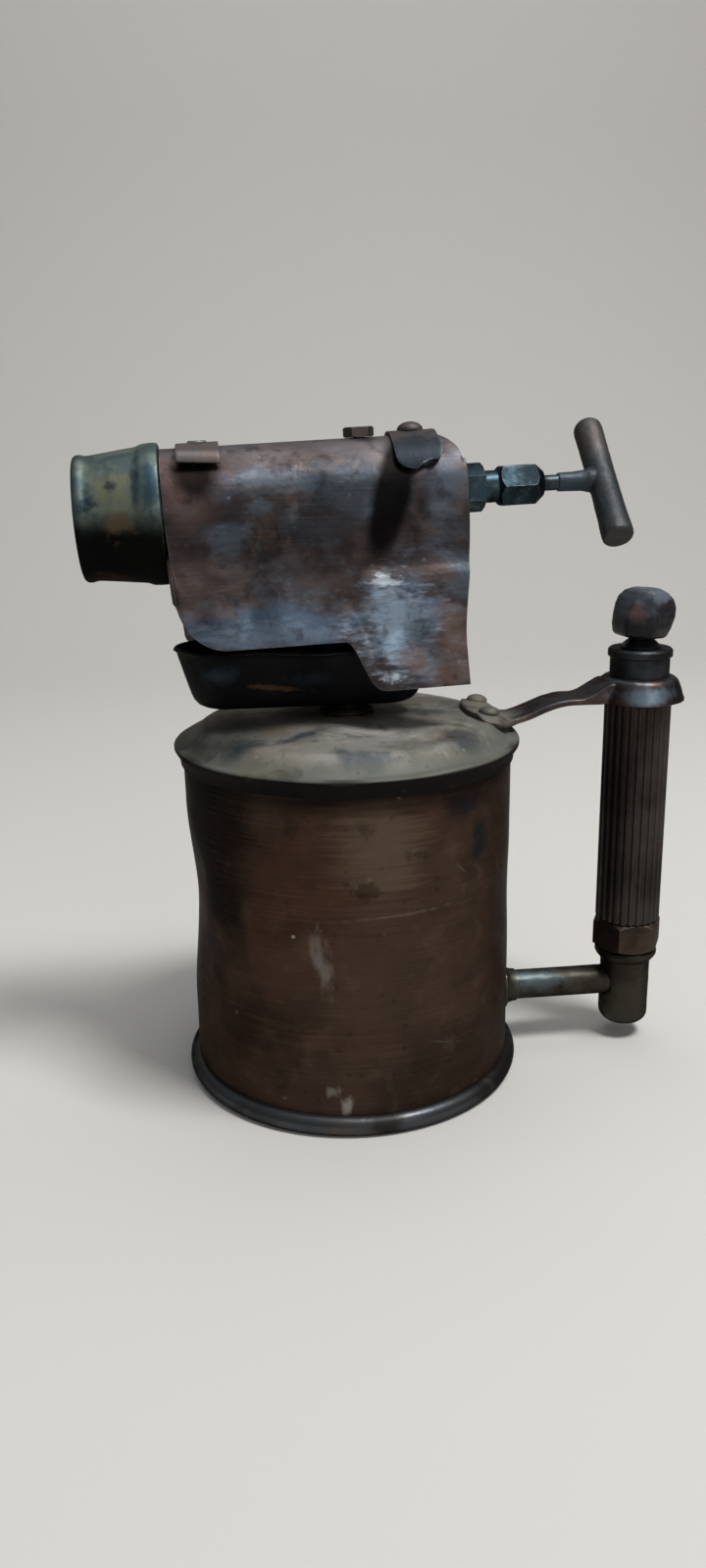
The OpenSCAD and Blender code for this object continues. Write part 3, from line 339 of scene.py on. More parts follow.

# Each finish: colour, roughness, metal, the shader's own settings, then its layers from the bottom up; some layers
# are painted light and shade, each marked where it stands
finishes = {
    "tank_wall": finish(
        "45362d", 0.46, 0.8, aged,
        mottle("281e19", 14.0, 0.42, 0.68, 0.8, rough=0.52),
        mottle("452b21", 12.0, 0.5, 0.72, 0.6, Shift=(0.3, 0.1, 0)),
        mottle("33271f", 70.0, 0.42, 0.66, 0.6, Shift=(0.7, 0, 0)),
        mottle("58483b", 110.0, 0.52, 0.72, 0.4, Shift=(0, 0.4, 0.1)),
        # Painted reflection: two lighter patches drawn out in rings on the front of the wall, where the light is
        # mirrored
        stainOrLight("67584a", (3, -52, 92), (19, 22, 24), 0.55, **spun),
        stainOrLight("54453a", (2, -52, 48), (24, 24, 30), 0.3, **spun),
        # Painted shade: the wall darkened on its left side and lower down, away from the light
        stainOrLight("0e0a08", (-43, -30, 84), (22, 28, 48), 0.9, rough=0.55, **soft),
        stainOrLight("180f0c", (-36, -38, 30), (22, 24, 32), 0.7, **soft),
        stainOrLight("14181d", (31, -42, 100), (14, 14, 9), 0.85, **soft),
        stainOrLight("191f26", (35.5, -38, 87), (5, 9, 8), 0.8),
        # Painted reflection: a warm brown band down the wall's far left edge
        stainOrLight("5c3f2a", (-51.5, -8, 56), (4, 10, 36), 0.7, **soft),
        # Painted reflection: a lighter grey band down the wall's right edge
        stainOrLight("3b3d38", (50, -14, 70), (4, 9, 36), 0.6, **soft),
        # Painted shadow: the wall darkens towards its top, under the lid's overhanging rim
        sweep("120d0a", (0, 0, 98), (0, 0, 106), 0.85, Wobble=0.25),
        mottle("75665a", 90.0, 0.44, 0.8, 0.13, rough=0.38, height=0.003, **lathe),
        stainOrLight("1b120f", (-2.3, -52, 78), (5.5, 6, 3.6), 0.5, **spotted),
        stainOrLight("1b120f", (-2, -52, 97.5), (4, 6, 2.8), 0.4, **spotted),
        stainOrLight("1b120f", (-22.3, -47, 97), (3, 6, 3.4), 0.4, **spotted),
        stainOrLight("1b120f", (14.5, -50, 88), (4, 6, 2.2), 0.4, **spotted),
        stainOrLight("857e79", (-14, -50, 56), (3.6, 6, 12), 0.5, metal=0.4, Turn=(0, 0.16, 0), **paleFlakes),
        stainOrLight("a49d97", (-7.4, -51.5, 9), (2.6, 5, 4), 0.65, metal=0.4, **paleFlakes),
        stainOrLight("857e78", (-11.5, -50.6, 14), (3, 5, 2.4), 0.55, metal=0.4, Turn=(0, 0.6, 0), **flaked),
        stainOrLight("a8a19b", (-21.7, -47.2, 63.7), (0.9, 3, 0.9), 0.7, metal=0.1, Ragged=0.2),
        stainOrLight("5e5650", (9.5, -51, 70.1), (19, 14, 0.6), 0.6, rough=0.36, Turn=(0, 0.04, 0), Scale=300.0),
        stainOrLight("5a534d", (29, -43, 80), (3.4, 5, 0.6), 0.6, Turn=(0, -0.9, 0), Scale=300.0),
        stainOrLight("544d47", (23, -46, 26), (9, 8, 0.45), 0.5, Turn=(0, -0.35, 0), Scale=300.0),
        specks("17100d", 95.0, 0.3, 0.1, 0.5, rough=0.6),
        specks("17100d", 300.0, 0.34, 0.2, 0.4, height=-0.03),
        specks("7d736b", 230.0, 0.24, 0.05, 0.4),
        grain(45.0, 0.05),
    ),
    "tank_top": finish(
        "85827b", 0.64, 0.55, aged,
        mottle("626560", 22.0, 0.42, 0.66, 0.8, rough=0.7),
        mottle("756b59", 30.0, 0.5, 0.68, 0.6, Shift=(0.2, 0, 0)),
        mottle("58554a", 75.0, 0.46, 0.66, 0.6, Shift=(0, 0.5, 0)),
        mottle("9a9791", 130.0, 0.54, 0.72, 0.4, Shift=(0.4, 0.2, 0)),
        # Painted highlight: a pale patch on the front of the crown
        stainOrLight("b0ada8", (8, -24, 118), (24, 15, 8), 0.85, rough=0.55, Scale=60.0, Ragged=0.5),
        stainOrLight("8a7460", (26, -30, 117), (10, 10, 6), 0.5, **soft),
        stainOrLight("6f604f", (-25, -17, 118), (13, 9, 6), 0.6, **soft),
        # Painted shade: the lid darker on its left side
        stainOrLight("3f4443", (-38, -14, 116), (19, 25, 10), 0.9, **soft),
        stainOrLight("25303a", (-34, -30, 116), (12, 8, 7), 0.85, Scale=80.0, Ragged=0.45),
        stainOrLight("2c3741", (-14.5, -24.5, 118), (14, 4.6, 6), 0.8, Turn=(0, 0, -0.59), Scale=110.0, Ragged=0.45),
        stainOrLight("36414b", (2, -46, 115), (16, 6, 6), 0.75, Scale=110.0, Ragged=0.7),
        stainOrLight("2c3741", (31, -34, 116), (9, 13, 6), 0.75, Turn=(0, 0, -0.3), Scale=90.0),
        stainOrLight("2f3a42", (26, -2, 118), (11, 8, 5), 0.75, Scale=90.0),
        # Painted shadow: the crown's far part darkened under the preheating tray
        stainOrLight("1d1e20", (-2, 4, 119), (28, 20, 8), 0.85, rough=0.7, **soft),
        sweep("5f615a", (0, 0, 116.5), (0, 0, 112.6), 0.75, rough=0.72, Wobble=0.4),
        stainOrLight("74705a", (-30, -43, 113), (18, 9, 3), 0.45, Scale=90.0),
        # Painted shade: the rim darker on the lid's left side
        stainOrLight("43443f", (-50, -18, 113), (12, 22, 4), 0.75, Scale=90.0),
        mottle("35342f", 60.0, 0.54, 0.68, 0.55, Shift=(0.9, 0.3, 0)),
        # Painted shade: the rim turned nearly black below its edge, on the underside that faces down
        sweep("0d0a08", (0, 0, 111.9), (0, 0, 111), 0.96, rough=0.75, Wobble=0.08),
        specks("2d2c28", 150.0, 0.3, 0.12, 0.6, rough=0.65),
        specks("3a3832", 400.0, 0.35, 0.2, 0.5, height=-0.03),
        specks("a5a39d", 300.0, 0.25, 0.02, 0.4),
        grain(60.0, 0.04),
    ),
    "tank_base": finish(
        "4b4d50", 0.36, 0.9, aged,
        mottle("2b2927", 34.0, 0.42, 0.62, 0.9, rough=0.5),
        mottle("5a4f45", 50.0, 0.55, 0.7, 0.6, Shift=(0.2, 0, 0)),
        specks("1c1816", 160.0, 0.35, 0.15),
        specks("a9a6a2", 240.0, 0.25, 0.05, 0.7),
        grain(80.0, 0.06),
    ),
    "nozzle_brass": finish(
        "6a736a", 0.55, 0.85, aged,
        mottle("435356", 55.0, 0.44, 0.6, 0.85, rough=0.52),
        stainOrLight("77765a", (-67, -17, 190), (9, 10, 8), 0.7, Scale=160.0),
        stainOrLight("222e36", (-74, -16, 186), (4, 8, 6), 0.85, Scale=200.0),
        stainOrLight("24313a", (-67, -17, 191), (3, 6, 2.4), 0.8, Scale=300.0),
        stainOrLight("2e3a3e", (-60.5, -17, 190), (1.6, 12, 14), 0.8, Scale=200.0),
        stainOrLight("2f424b", (-56, -18, 192), (3.4, 14, 14), 0.9),
        stainOrLight("3a4a50", (-77.5, -12, 187), (3, 16, 15), 0.7),
        sweep("060606", (0, 0, 186), (0, 0, 176), 0.97, rough=0.85, metal=0.75, Wobble=0.22),
        stainOrLight("5d4a36", (-66, -17, 180), (6.5, 6, 5), 0.7, rough=0.5, Scale=200.0),
        stainOrLight("070707", (-67, -17, 176.3), (2.8, 5, 1.9), 0.95, Ragged=0.3),
        # Painted reflection: a brown patch at the very bottom of the nozzle
        stainOrLight("3d2b1c", (-70, -6, 165), (9, 9, 2.5), 0.7),
        worn("9a9678", 0.5, 0.5),
        grain(140.0, 0.06),
    ),
    "shield_steel": finish(
        "443d3d", 0.44, 0.8, aged,
        mottle("2b2729", 20.0, 0.42, 0.66, 0.7),
        mottle("5c4b42", 30.0, 0.5, 0.68, 0.65, Shift=(0.5, 0, 0.2)),
        mottle("53606c", 42.0, 0.5, 0.68, 0.6, Shift=(0.1, 0, 0.6), Stretch=(0.7, 1, 1.2)),
        mottle("33292a", 90.0, 0.46, 0.68, 0.6, Shift=(0.3, 0.2, 0)),
        sweep("787375", (0, 0, 195), (0, 0, 203), 0.75, Wobble=0.4),
        stainOrLight("6f5850", (-46, -20, 195), (14, 18, 20), 0.75, **soft),
        # Painted shade: the upright middle of the near panel darkened, between the lit arch and the flared hem
        stainOrLight("242225", (-16, -21, 177), (38, 10, 15), 0.68, **soft),
        # Painted highlight: a lighter band over the area of the embossed lettering, which is not modelled,
        # standing for its lit edges
        stainOrLight("615b5c", (-19, -22, 165), (27, 10, 9), 0.4, **rubbedAndSheen),
        stainOrLight("4a5864", (-35, -21, 177), (8, 8, 10), 0.6, **rubbedAndSheen),
        # Painted highlight: a blue-grey band with streaks along the near side just under the arch's top
        stainOrLight("55626f", (-16, -17, 192), (33, 12, 6), 0.42, rough=0.38, **rubbedAndSheen),
        stainOrLight("98a6b3", (-17, -17, 191.5), (26, 12, 4.5), 0.1, rough=0.36, **sheenStreaks),
        stainOrLight("3a4047", (0, -16, 193), (14, 14, 9), 0.75, **soft),
        stainOrLight("3f444b", (27, -17, 192), (8, 13, 10), 0.5, **soft),
        # Painted reflection: a soft blue-grey patch on the arch, right of the rear strap
        stainOrLight("5d6c7b", (28, -20, 184), (10, 10, 22), 0.32, **rubbedAndSheen),
        # Painted reflection: a blue-grey band with streaks along the flared hem of the near panel
        stainOrLight("566a80", (-24, -22, 149), (40, 12, 11), 0.65, rough=0.36, **rubbedAndSheen),
        stainOrLight("9fb0c0", (-24, -23, 147.5), (34, 12, 6), 0.2, rough=0.34, **sheenStreaks),
        # Painted reflection: blue-grey patches with streaks on the outward-bent tab
        stainOrLight("6a829b", (15, -22, 152), (16, 12, 19), 0.64, rough=0.34, **rubbedAndSheen),
        stainOrLight("a9bccd", (13, -22, 150), (14, 12, 17), 0.46, rough=0.32, **sheenStreaks),
        stainOrLight("8796a5", (21, -24, 139), (15, 10, 9), 0.3, rough=0.34, **sheenStreaks),
        stainOrLight("705a50", (29, -23, 143), (9, 12, 16), 0.5, **rubbedAndSheen),
        stainOrLight("6a5347", (18, -23, 140), (6, 10, 6), 0.6, Scale=110.0),
        stainOrLight("54443d", (25, -21, 165), (12, 9, 7), 0.55, **rubbedAndSheen),
        stainOrLight("5b4a44", (-43, -22, 161), (14, 10, 12), 0.65, **rubbedAndSheen),
        mottle("665448", 80.0, 0.52, 0.68, 0.45, Shift=(0.8, 0.1, 0.3)),
        mottle("64747f", 110.0, 0.54, 0.7, 0.35, Shift=(0.2, 0.6, 0.1), Stretch=(0.7, 1, 1.2)),
        mottle("8f9ba6", 420.0, 0.6, 0.72, 0.14, Shift=(0.6, 0.2, 0.7), Stretch=(0.4, 1, 1.2)),
        mottle("262224", 170.0, 0.52, 0.68, 0.55, Shift=(0.4, 0.9, 0.5)),
        mottle("7a828a", 100.0, 0.48, 0.82, 0.12, rough=0.3, height=0.004, **belt),
        stainOrLight("ced8e0", (9.7, -20, 162.4), (6, 8, 2.4), 0.55, rough=0.28, **scratched),
        stainOrLight("c2ccd3", (11.5, -24, 134.5), (4, 8, 1.9), 0.55, rough=0.28, Scale=600.0, Ragged=0.7),
        # Sooty darkening with painted shadow: a near-black band slanting down from the rear strap, standing partly
        # for the strap's cast shadow
        stainOrLight("070606", (13, -18, 188), (7, 26, 26), 0.95, Turn=(0, -0.26, 0), **sootAndShadow),
        # Sooty darkening with painted shadow: a dark patch just under the front strap's lip, standing partly for
        # its cast shadow
        stainOrLight("0b0808", (-43.6, -15, 193), (9.5, 14, 9.5), 0.92, Turn=(0, -0.3, 0), **thinSootAndShadow),
        specks("1f1b1c", 150.0, 0.3, 0.12, 0.6, rough=0.6),
        specks("aab3ba", 320.0, 0.22, 0.03, 0.35),
        worn("8d959c", 0.5, 0.5),
        grain(50.0, 0.12),
    ),
    "strap_steel": finish(
        "625853", 0.56, 0.74, aged,
        mottle("5b5b5e", 55.0, 0.45, 0.62, 0.6, rough=0.5),
        mottle("5c4b43", 45.0, 0.5, 0.66, 0.8, Shift=(0.4, 0, 0)),
        stainOrLight("232c35", (23, -24, 200), (34, 44, 44), 0.92, Scale=90.0, Ragged=0.25),
        worn("8a9095", 0.5, 0.5),
        grain(120.0, 0.1),
    ),
    "tray_steel": finish(
        "181a1c", 0.5, 0.7, aged,
        mottle("0e0f10", 30.0, 0.42, 0.64, 0.8, rough=0.62),
        stainOrLight("2c363f", (-40, -14, 135), (9, 9, 5), 0.8, Scale=120.0),
        stainOrLight("26303a", (-12, -14, 133), (10, 9, 3), 0.6, Scale=120.0),
        stainOrLight("5c4530", (-22, -13, 130.3), (11, 8, 1.1), 0.65, Turn=(0, -0.12, 0), Scale=250.0),
        worn("5b5442", 0.5, 0.8),
        grain(90.0, 0.1),
    ),
    "valve_brass": finish(
        "33424a", 0.36, 0.9, aged,
        mottle("171d20", 80.0, 0.44, 0.62, 0.9, rough=0.5),
        mottle("5c6a62", 110.0, 0.56, 0.68, 0.6, Shift=(0.3, 0, 0)),
        worn("7f949e", 0.45, 0.7),
        grain(160.0, 0.06),
    ),
    "spindle_steel": finish(
        "3c4448", 0.38, 0.9, aged,
        mottle("22262a", 110.0, 0.45, 0.62, 0.9, rough=0.55),
        grain(220.0, 0.05),
    ),
    "handle_iron": finish(
        "3b3f42", 0.52, 0.7, aged,
        mottle("333235", 60.0, 0.44, 0.62, 0.8, rough=0.58),
        mottle("4c4643", 90.0, 0.54, 0.68, 0.7, Shift=(0.6, 0, 0)),
        stainOrLight("5b5551", (80, 8, 202), (12, 14, 13), 0.65, **soft),
        stainOrLight("544d49", (80, -12, 172), (12, 12, 9), 0.5, **soft),
        stainOrLight("3b4953", (69, 0, 187), (11, 8, 8), 0.85, rough=0.42, **soft),
        specks("1b1a1b", 260.0, 0.34, 0.2, 0.8),
        worn("7d8186", 0.7, 0.5),
        grain(260.0, 0.12),
    ),
    "bracket_brass": finish(
        "463a36", 0.38, 0.88, aged,
        mottle("2a2424", 55.0, 0.44, 0.62, 0.85, rough=0.5),
        mottle("6b4f42", 80.0, 0.56, 0.7, 0.6, Shift=(0.3, 0, 0)),
        # Painted reflection: upward faces turn blue-grey, as if mirroring a bright sky above
        layerOf("upFacing", "55626b", 0.5, Low=0.15, High=0.9, Scale=80.0),
        # Painted highlight: a blue-grey band round the front of the collar
        stainOrLight("7a8b98", (95, -13, 122.5), (15, 9, 3.8), 0.85, Scale=90.0),
        stainOrLight("6b675c", (45, -2, 118.5), (15, 24, 8), 0.92, rough=0.75, metal=0.25, Scale=110.0, Ragged=0.4),
        worn("97806f", 0.5, 0.5),
        grain(130.0, 0.08),
    ),
    "cap_brass": finish(
        "36393d", 0.42, 0.85, aged,
        mottle("242427", 80.0, 0.44, 0.62, 0.9, rough=0.5),
        mottle("4d463f", 100.0, 0.56, 0.7, 0.6, Shift=(0.3, 0, 0)),
        worn("6c6862", 0.5, 0.6),
        grain(150.0, 0.06),
    ),
    "guide_black": finish(
        "171717", 0.45, 0.5, plain,
        mottle("262423", 110.0, 0.46, 0.62, rough=0.55),
        grain(200.0, 0.05),
    ),
    "knob_wood": finish(
        "2a2a2e", 0.4, 0.0, varnished,
        mottle("191517", 60.0, 0.42, 0.62, 0.9, Stretch=(3, 3, 1)),
        stainOrLight("47302c", (91, -8, 148), (4, 5, 3.4), 0.8, Scale=200.0),
        mottle("474d55", 60.0, 0.46, 0.68, 0.7, Shift=(0.3, 0, 0)),
        # Painted highlight: a blue-grey patch on the knob's upper right
        stainOrLight("5b636d", (99, -5, 153.5), (6, 7, 3), 0.7, Scale=200.0),
        stainOrLight("4a302b", (91.5, -8, 148.5), (3.6, 5, 3), 0.5, Scale=200.0),
        stainOrLight("171416", (100, -8, 149), (2.6, 5, 3.2), 0.85, rough=0.6, height=-0.25, Scale=300.0),
        # Painted shade: the knob darkened towards its foot
        sweep("0d0c0d", (0, 0, 149), (0, 0, 142), 0.88, Wobble=0.2),
        worn("43464b", 0.5, 0.25),
        grain(300.0, 0.06),
    ),
    "grip_dark": finish(
        "403a37", 0.46, 0.5, aged,
        mottle("272221", 30.0, 0.42, 0.64, 0.9, rough=0.55),
        mottle("453a32", 60.0, 0.5, 0.68, 0.6, Stretch=(1, 1, 0.2), Shift=(0.3, 0, 0)),
        # Painted shade: the grip's left side darkened, away from the light
        stainOrLight("120e0d", (86, -6, 78), (9, 14, 72), 0.75, **soft),
        worn("4d4239", 0.3, 0.4),
        grain(180.0, 0.05),
    ),
    "nut_brass": finish(
        "493e36", 0.42, 0.88, aged,
        mottle("312923", 70.0, 0.44, 0.62, 0.9, rough=0.5),
        mottle("493e33", 100.0, 0.56, 0.7, 0.6, Shift=(0.3, 0, 0)),
        worn("77797a", 0.6, 0.7),
        grain(150.0, 0.06),
    ),
    "elbow_brass": finish(
        "3d3a33", 0.44, 0.88, aged,
        mottle("2c2722", 50.0, 0.42, 0.62, 0.9, rough=0.5),
        mottle("4d5a58", 70.0, 0.54, 0.68, 0.8, Shift=(0.7, 0, 0)),
        stainOrLight("54656a", (64, -2, 23), (17, 9, 4.5), 0.5, Scale=120.0),
        # Painted shade: the burner socket darkened nearly black under the preheating tray
        stainOrLight("100e0d", (0, 0, 121), (16, 16, 7), 1.0, rough=0.75, Ragged=0.1),
        worn("8a8470", 0.5, 0.5),
        grain(120.0, 0.1),
    ),
    "burner_bronze": finish(
        "2d2927", 0.6, 0.7, plain,
        mottle("161413", 50.0, 0.45, 0.62, rough=0.75),
        grain(350.0, 0.1),
    ),
    "inner_brass": finish(
        "8d7743", 0.35, 1.0, plain,
        mottle("6a5a34", 120.0, 0.5, 0.65, rough=0.45),
        grain(200.0, 0.03),
    ),
    "rod_steel": finish(
        "8a8a88", 0.3, 1.0, plain,
        mottle("5c5652", 150.0, 0.52, 0.66, rough=0.45),
        grain(200.0, 0.03),
    ),
    "seal_leather": finish(
        "3d2c20", 0.65, 0.0, plain,
        mottle("281c14", 150.0, 0.45, 0.65),
        grain(500.0, 0.1),
    ),
    "packing_fibre": finish(
        "b9ae94", 0.85, 0.0, plain,
        mottle("8a7d66", 200.0, 0.5, 0.65),
        grain(600.0, 0.12, Stretch=(3, 1, 1)),
    ),
}
slotMaterials = {slotName: makeFinish(slotName, look) for slotName, look in finishes.items()}


def dressNodes():
    for part in frame["record"]["subparts"]:
        mesh = nodes[part["node"]].data
        mesh.materials.clear()
        mesh.materials.append(slotMaterials[part["material_slot"]])


dressNodes()
print("finishes built:", len(slotMaterials))


# Modelling helpers: edit mode on one piece, modifiers applied, and what a finished piece stands for
slotOf = {part["node"]: part["material_slot"] for part in frame["record"]["subparts"]}
bodyOf = {node: body for body, group in frame["record"]["behaviour"]["bodies"].items() for node in group}
mergeGap = 0.01 * mm
holeSides = 64
sheetEdgeAngle = 50
smoothAngle = 35


def mix(a, b, share):
    return a + (b - a) * share


def ease(share):
    held = min(max(share, 0.0), 1.0)
    return held * held * (3 - 2 * held)


def around(degrees):
    return Vector((math.cos(math.radians(degrees)), math.sin(math.radians(degrees)), 0))


def inMm(profile):
    return [(radius * mm, level * mm) for radius, level in profile]


def pickPiece(piece):
    bpy.ops.object.select_all(action="DESELECT")
    piece.select_set(True)
    bpy.context.view_layer.objects.active = piece


def editPiece(piece):
    pickPiece(piece)
    bpy.ops.object.mode_set(mode="EDIT")


def leaveEdit():
    bpy.ops.object.mode_set(mode="OBJECT")


def selectWhere(piece, kind, chosen):
    editPiece(piece)
    bpy.ops.mesh.select_mode(type=kind)
    bpy.ops.mesh.select_all(action="DESELECT")
    leaveEdit()
    for item in piece.data.vertices if kind == "VERT" else piece.data.edges:
        item.select = chosen(item)
    bpy.ops.object.mode_set(mode="EDIT")


def tidyMesh(piece):
    editPiece(piece)
    bpy.ops.mesh.select_all(action="SELECT")
    bpy.ops.mesh.remove_doubles(threshold=mergeGap)
    bpy.ops.mesh.normals_make_consistent(inside=False)
    leaveEdit()


def addModifier(piece, kind, **settings):
    modifier = piece.modifiers.new(kind.lower(), kind)
    for name, value in settings.items():
        setattr(modifier, name, value)
    return modifier.name


def applyModifier(piece, kind, **settings):
    bpy.context.view_layer.objects.active = piece
    bpy.ops.object.modifier_apply(modifier=addModifier(piece, kind, **settings))


def roundEdges(piece, width, angle, segments=2):
    limit = {"limit_method": "ANGLE", "angle_limit": math.radians(angle)}
    applyModifier(piece, "BEVEL", width=width, segments=segments, **limit)


def thicken(piece, sheet, side, edgeRound=0.0):
    applyModifier(piece, "SOLIDIFY", thickness=sheet, offset=side, use_even_offset=True)
    if edgeRound:
        roundEdges(piece, edgeRound, sheetEdgeAngle)


def ripple(piece, size, depth):
    cloud = bpy.data.textures.new(piece.name + "Ripple", "CLOUDS")
    cloud.noise_scale = size
    cloud.noise_depth = 1
    applyModifier(piece, "DISPLACE", texture=cloud, texture_coords="LOCAL", strength=depth, mid_level=0.5)


def pressDent(piece, at, push, reach):
    target = Vector(at)
    nearest = min(piece.data.vertices, key=lambda vertex: (vertex.co - target).length).index
    selectWhere(piece, "VERT", lambda vertex: vertex.index == nearest)
    bpy.ops.transform.translate(
        value=push, use_proportional_edit=True, proportional_edit_falloff="SMOOTH", proportional_size=reach)
    leaveEdit()


def knockAll(piece, radius, knocks):
    for degrees, level, push, reach in knocks:
        outward = around(degrees)
        pressDent(piece, outward * radius + Vector((0, 0, level * mm)), push * mm * outward, reach * mm)


def applyPlace():
    bpy.ops.object.transform_apply(location=True, rotation=True, scale=True)


def turnedPiece(name, profile, segments):
    radius, level = profile[0]
    bpy.ops.object.select_all(action="DESELECT")
    bpy.ops.mesh.primitive_circle_add(vertices=segments, radius=radius, location=(0, 0, level))
    piece = bpy.context.object
    piece.name = name
    applyPlace()
    bpy.ops.object.mode_set(mode="EDIT")
    for nextRadius, nextLevel in profile[1:]:
        bpy.ops.mesh.extrude_region_move(TRANSFORM_OT_translate={"value": (0, 0, nextLevel - level)})
        share = nextRadius / radius
        bpy.ops.transform.resize(value=(share, share, 1), center_override=(0, 0, nextLevel))
        radius, level = nextRadius, nextLevel
    leaveEdit()
    return piece


def sheetPiece(name, columns, rows, pointAt):
    bpy.ops.object.select_all(action="DESELECT")
    bpy.ops.mesh.primitive_grid_add(x_subdivisions=columns, y_subdivisions=rows, size=1)
    piece = bpy.context.object
    piece.name = name
    for vertex in piece.data.vertices:
        vertex.co = pointAt(vertex.co.x + 0.5, vertex.co.y + 0.5)
    return piece


def carve(piece, cutter, operation):
    applyModifier(piece, "BOOLEAN", object=cutter, operation=operation, solver="EXACT")
    bpy.data.objects.remove(cutter)


def cutHole(piece, at, radius, depth):
    bpy.ops.mesh.primitive_cylinder_add(vertices=holeSides, radius=radius, depth=depth, location=at)
    carve(piece, bpy.context.object, "DIFFERENCE")


def closeEnds(piece):
    editPiece(piece)
    bpy.ops.mesh.select_all(action="SELECT")
    bpy.ops.mesh.fill_holes(sides=0)
    leaveEdit()
    tidyMesh(piece)


def hexNut(name, profile, corner, turn, segments):
    blank = turnedPiece("nutBlank", profile, segments)
    closeEnds(blank)
    low, high = profile[0][1], profile[-1][1]
    middle = (0, 0, (low + high) / 2)
    bpy.ops.mesh.primitive_cylinder_add(
        vertices=6, radius=corner, depth=2 * (high - low), location=middle, rotation=(0, 0, turn))
    nut = bpy.context.object
    nut.name = name
    applyPlace()
    carve(nut, blank, "INTERSECT")
    return nut


def placePiece(piece, place):
    pickPiece(piece)
    piece.matrix_world = place
    applyPlace()


def weld(piece, other, voxel, passes):
    pickPiece(piece)
    other.select_set(True)
    bpy.ops.object.join()
    applyModifier(piece, "REMESH", mode="VOXEL", voxel_size=voxel)
    applyModifier(piece, "SMOOTH", iterations=passes)


def dressLike(piece, nodeName, smooth=smoothAngle):
    pickPiece(piece)
    bpy.ops.object.shade_smooth_by_angle(angle=math.radians(smooth))
    slotName = slotOf[nodeName]
    piece.data.materials.clear()
    piece.data.materials.append(slotMaterials[slotName])
    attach(piece, bodyOf[nodeName])
    print("piece:", piece.name, len(piece.data.polygons), "faces")


def standFor(piece, nodeName, smooth=smoothAngle):
    dressLike(piece, nodeName, smooth)
    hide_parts(nodeName)


# The burner's frame, taken from the valve's joint: x runs along the drooping axis
valveJoint = next(joint for joint in frame["joints"] if joint["name"] == "valve_turn")
valveRise = 2 * mm  # the valve's axis over the burner's
burnerTilt = math.atan2(valveJoint["axis"][2], valveJoint["axis"][0])
valvePlace = Matrix.Translation(valveJoint["pos_m"]) @ Matrix.Rotation(-burnerTilt, 4, "Y")
burnerPlace = valvePlace @ Matrix.Translation((0, 0, -valveRise))


# Tank wall: a drawn tube, knocked in on the nozzle's side and lightly uneven all over
tankWall = {
    "segments": 176,
    "rings": 60,
    "sheet": 1.2 * mm,
    "ripple": (26 * mm, 0.35 * mm),
    "knocks": [  # degrees round the tank, height, push outwards, reach
        (187, 60, -2.6, 34), (203, 47, -0.9, 15), (196, 74, -0.7, 12), (318, 90, -0.8, 17),
        (335, 62, -0.6, 20), (255, 30, -0.5, 24), (62, 70, -1.3, 22), (118, 36, -0.9, 18),
    ],
}


def makeTankWall(look):
    low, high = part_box("tank_shell")
    radius = high.x
    levels = [mix(low.z, high.z, i / look["rings"]) for i in range(look["rings"] + 1)]
    wall = turnedPiece("tankWall", [(radius, level) for level in levels], look["segments"])
    tidyMesh(wall)
    knockAll(wall, radius, look["knocks"])
    ripple(wall, *look["ripple"])
    thicken(wall, look["sheet"], -1)
    standFor(wall, "tank_shell")


makeTankWall(tankWall)


# Windshield: one bent sheet over the burner, with a short near panel, a tab at its rear and knocks all over
windshield = {
    "columns": 112,
    "panelRows": 34,
    "archRows": 34,
    "radius": 18.7 * mm,
    "sheet": 1.0 * mm,
    "edgeRound": 0.22 * mm,
    "front": -53 * mm,
    "back": 35 * mm,
    "leftSlant": 3 * mm,
    "rightSlant": 2.5 * mm,
    "flare": 3 * mm,
    "nearDrop": 38.5 * mm,
    "tabDrop": 53.5 * mm,
    "tabWidth": 25.6 * mm,
    "stepWidth": 13.3 * mm,
    "stepSkew": 0.8,
    "farDrop": 47 * mm,
    "corner": 14 * mm,
    "farCorner": 6 * mm,
    "endPull": 7 * mm,
    "endReach": 17 * mm,
    "hemFlare": 2.2 * mm,
    "hem": 14 * mm,
    "crease": {
        "start": 0, "run": 9 * mm, "level": 17 * mm, "fold": 5 * mm, "tuck": 1.9 * mm, "lean": 1.6 * mm,
    },
    "edgeWave": 0.7 * mm,
    "waveLength": 53 * mm,
    "dents": [  # along the burner, height over its axis, push outwards, reach; near panel
        (15, -5, -1.6, 10), (28, -11, -1.2, 9), (30, -44, 1.0, 9), (13, -36, -1.3, 8), (24, -38, 1.1, 8),
        (-8, -20, -1.0, 14), (-32, -10, -1.2, 12), (-40, -28, 1.2, 11), (-22, -30, 0.9, 10),
        (-50, -20, 1.0, 8), (-12, 6, -0.6, 10), (-34, 8, 0.6, 11), (4, -27, 0.9, 8),
    ],
    "farDents": [(-30, -20, 1.2, 16), (5, -30, -1.1, 15), (24, -15, 1.0, 13)],
}


def heldBack(distance, radius):
    return radius - math.sqrt(max(radius ** 2 - (radius - min(distance, radius)) ** 2, 0.0))


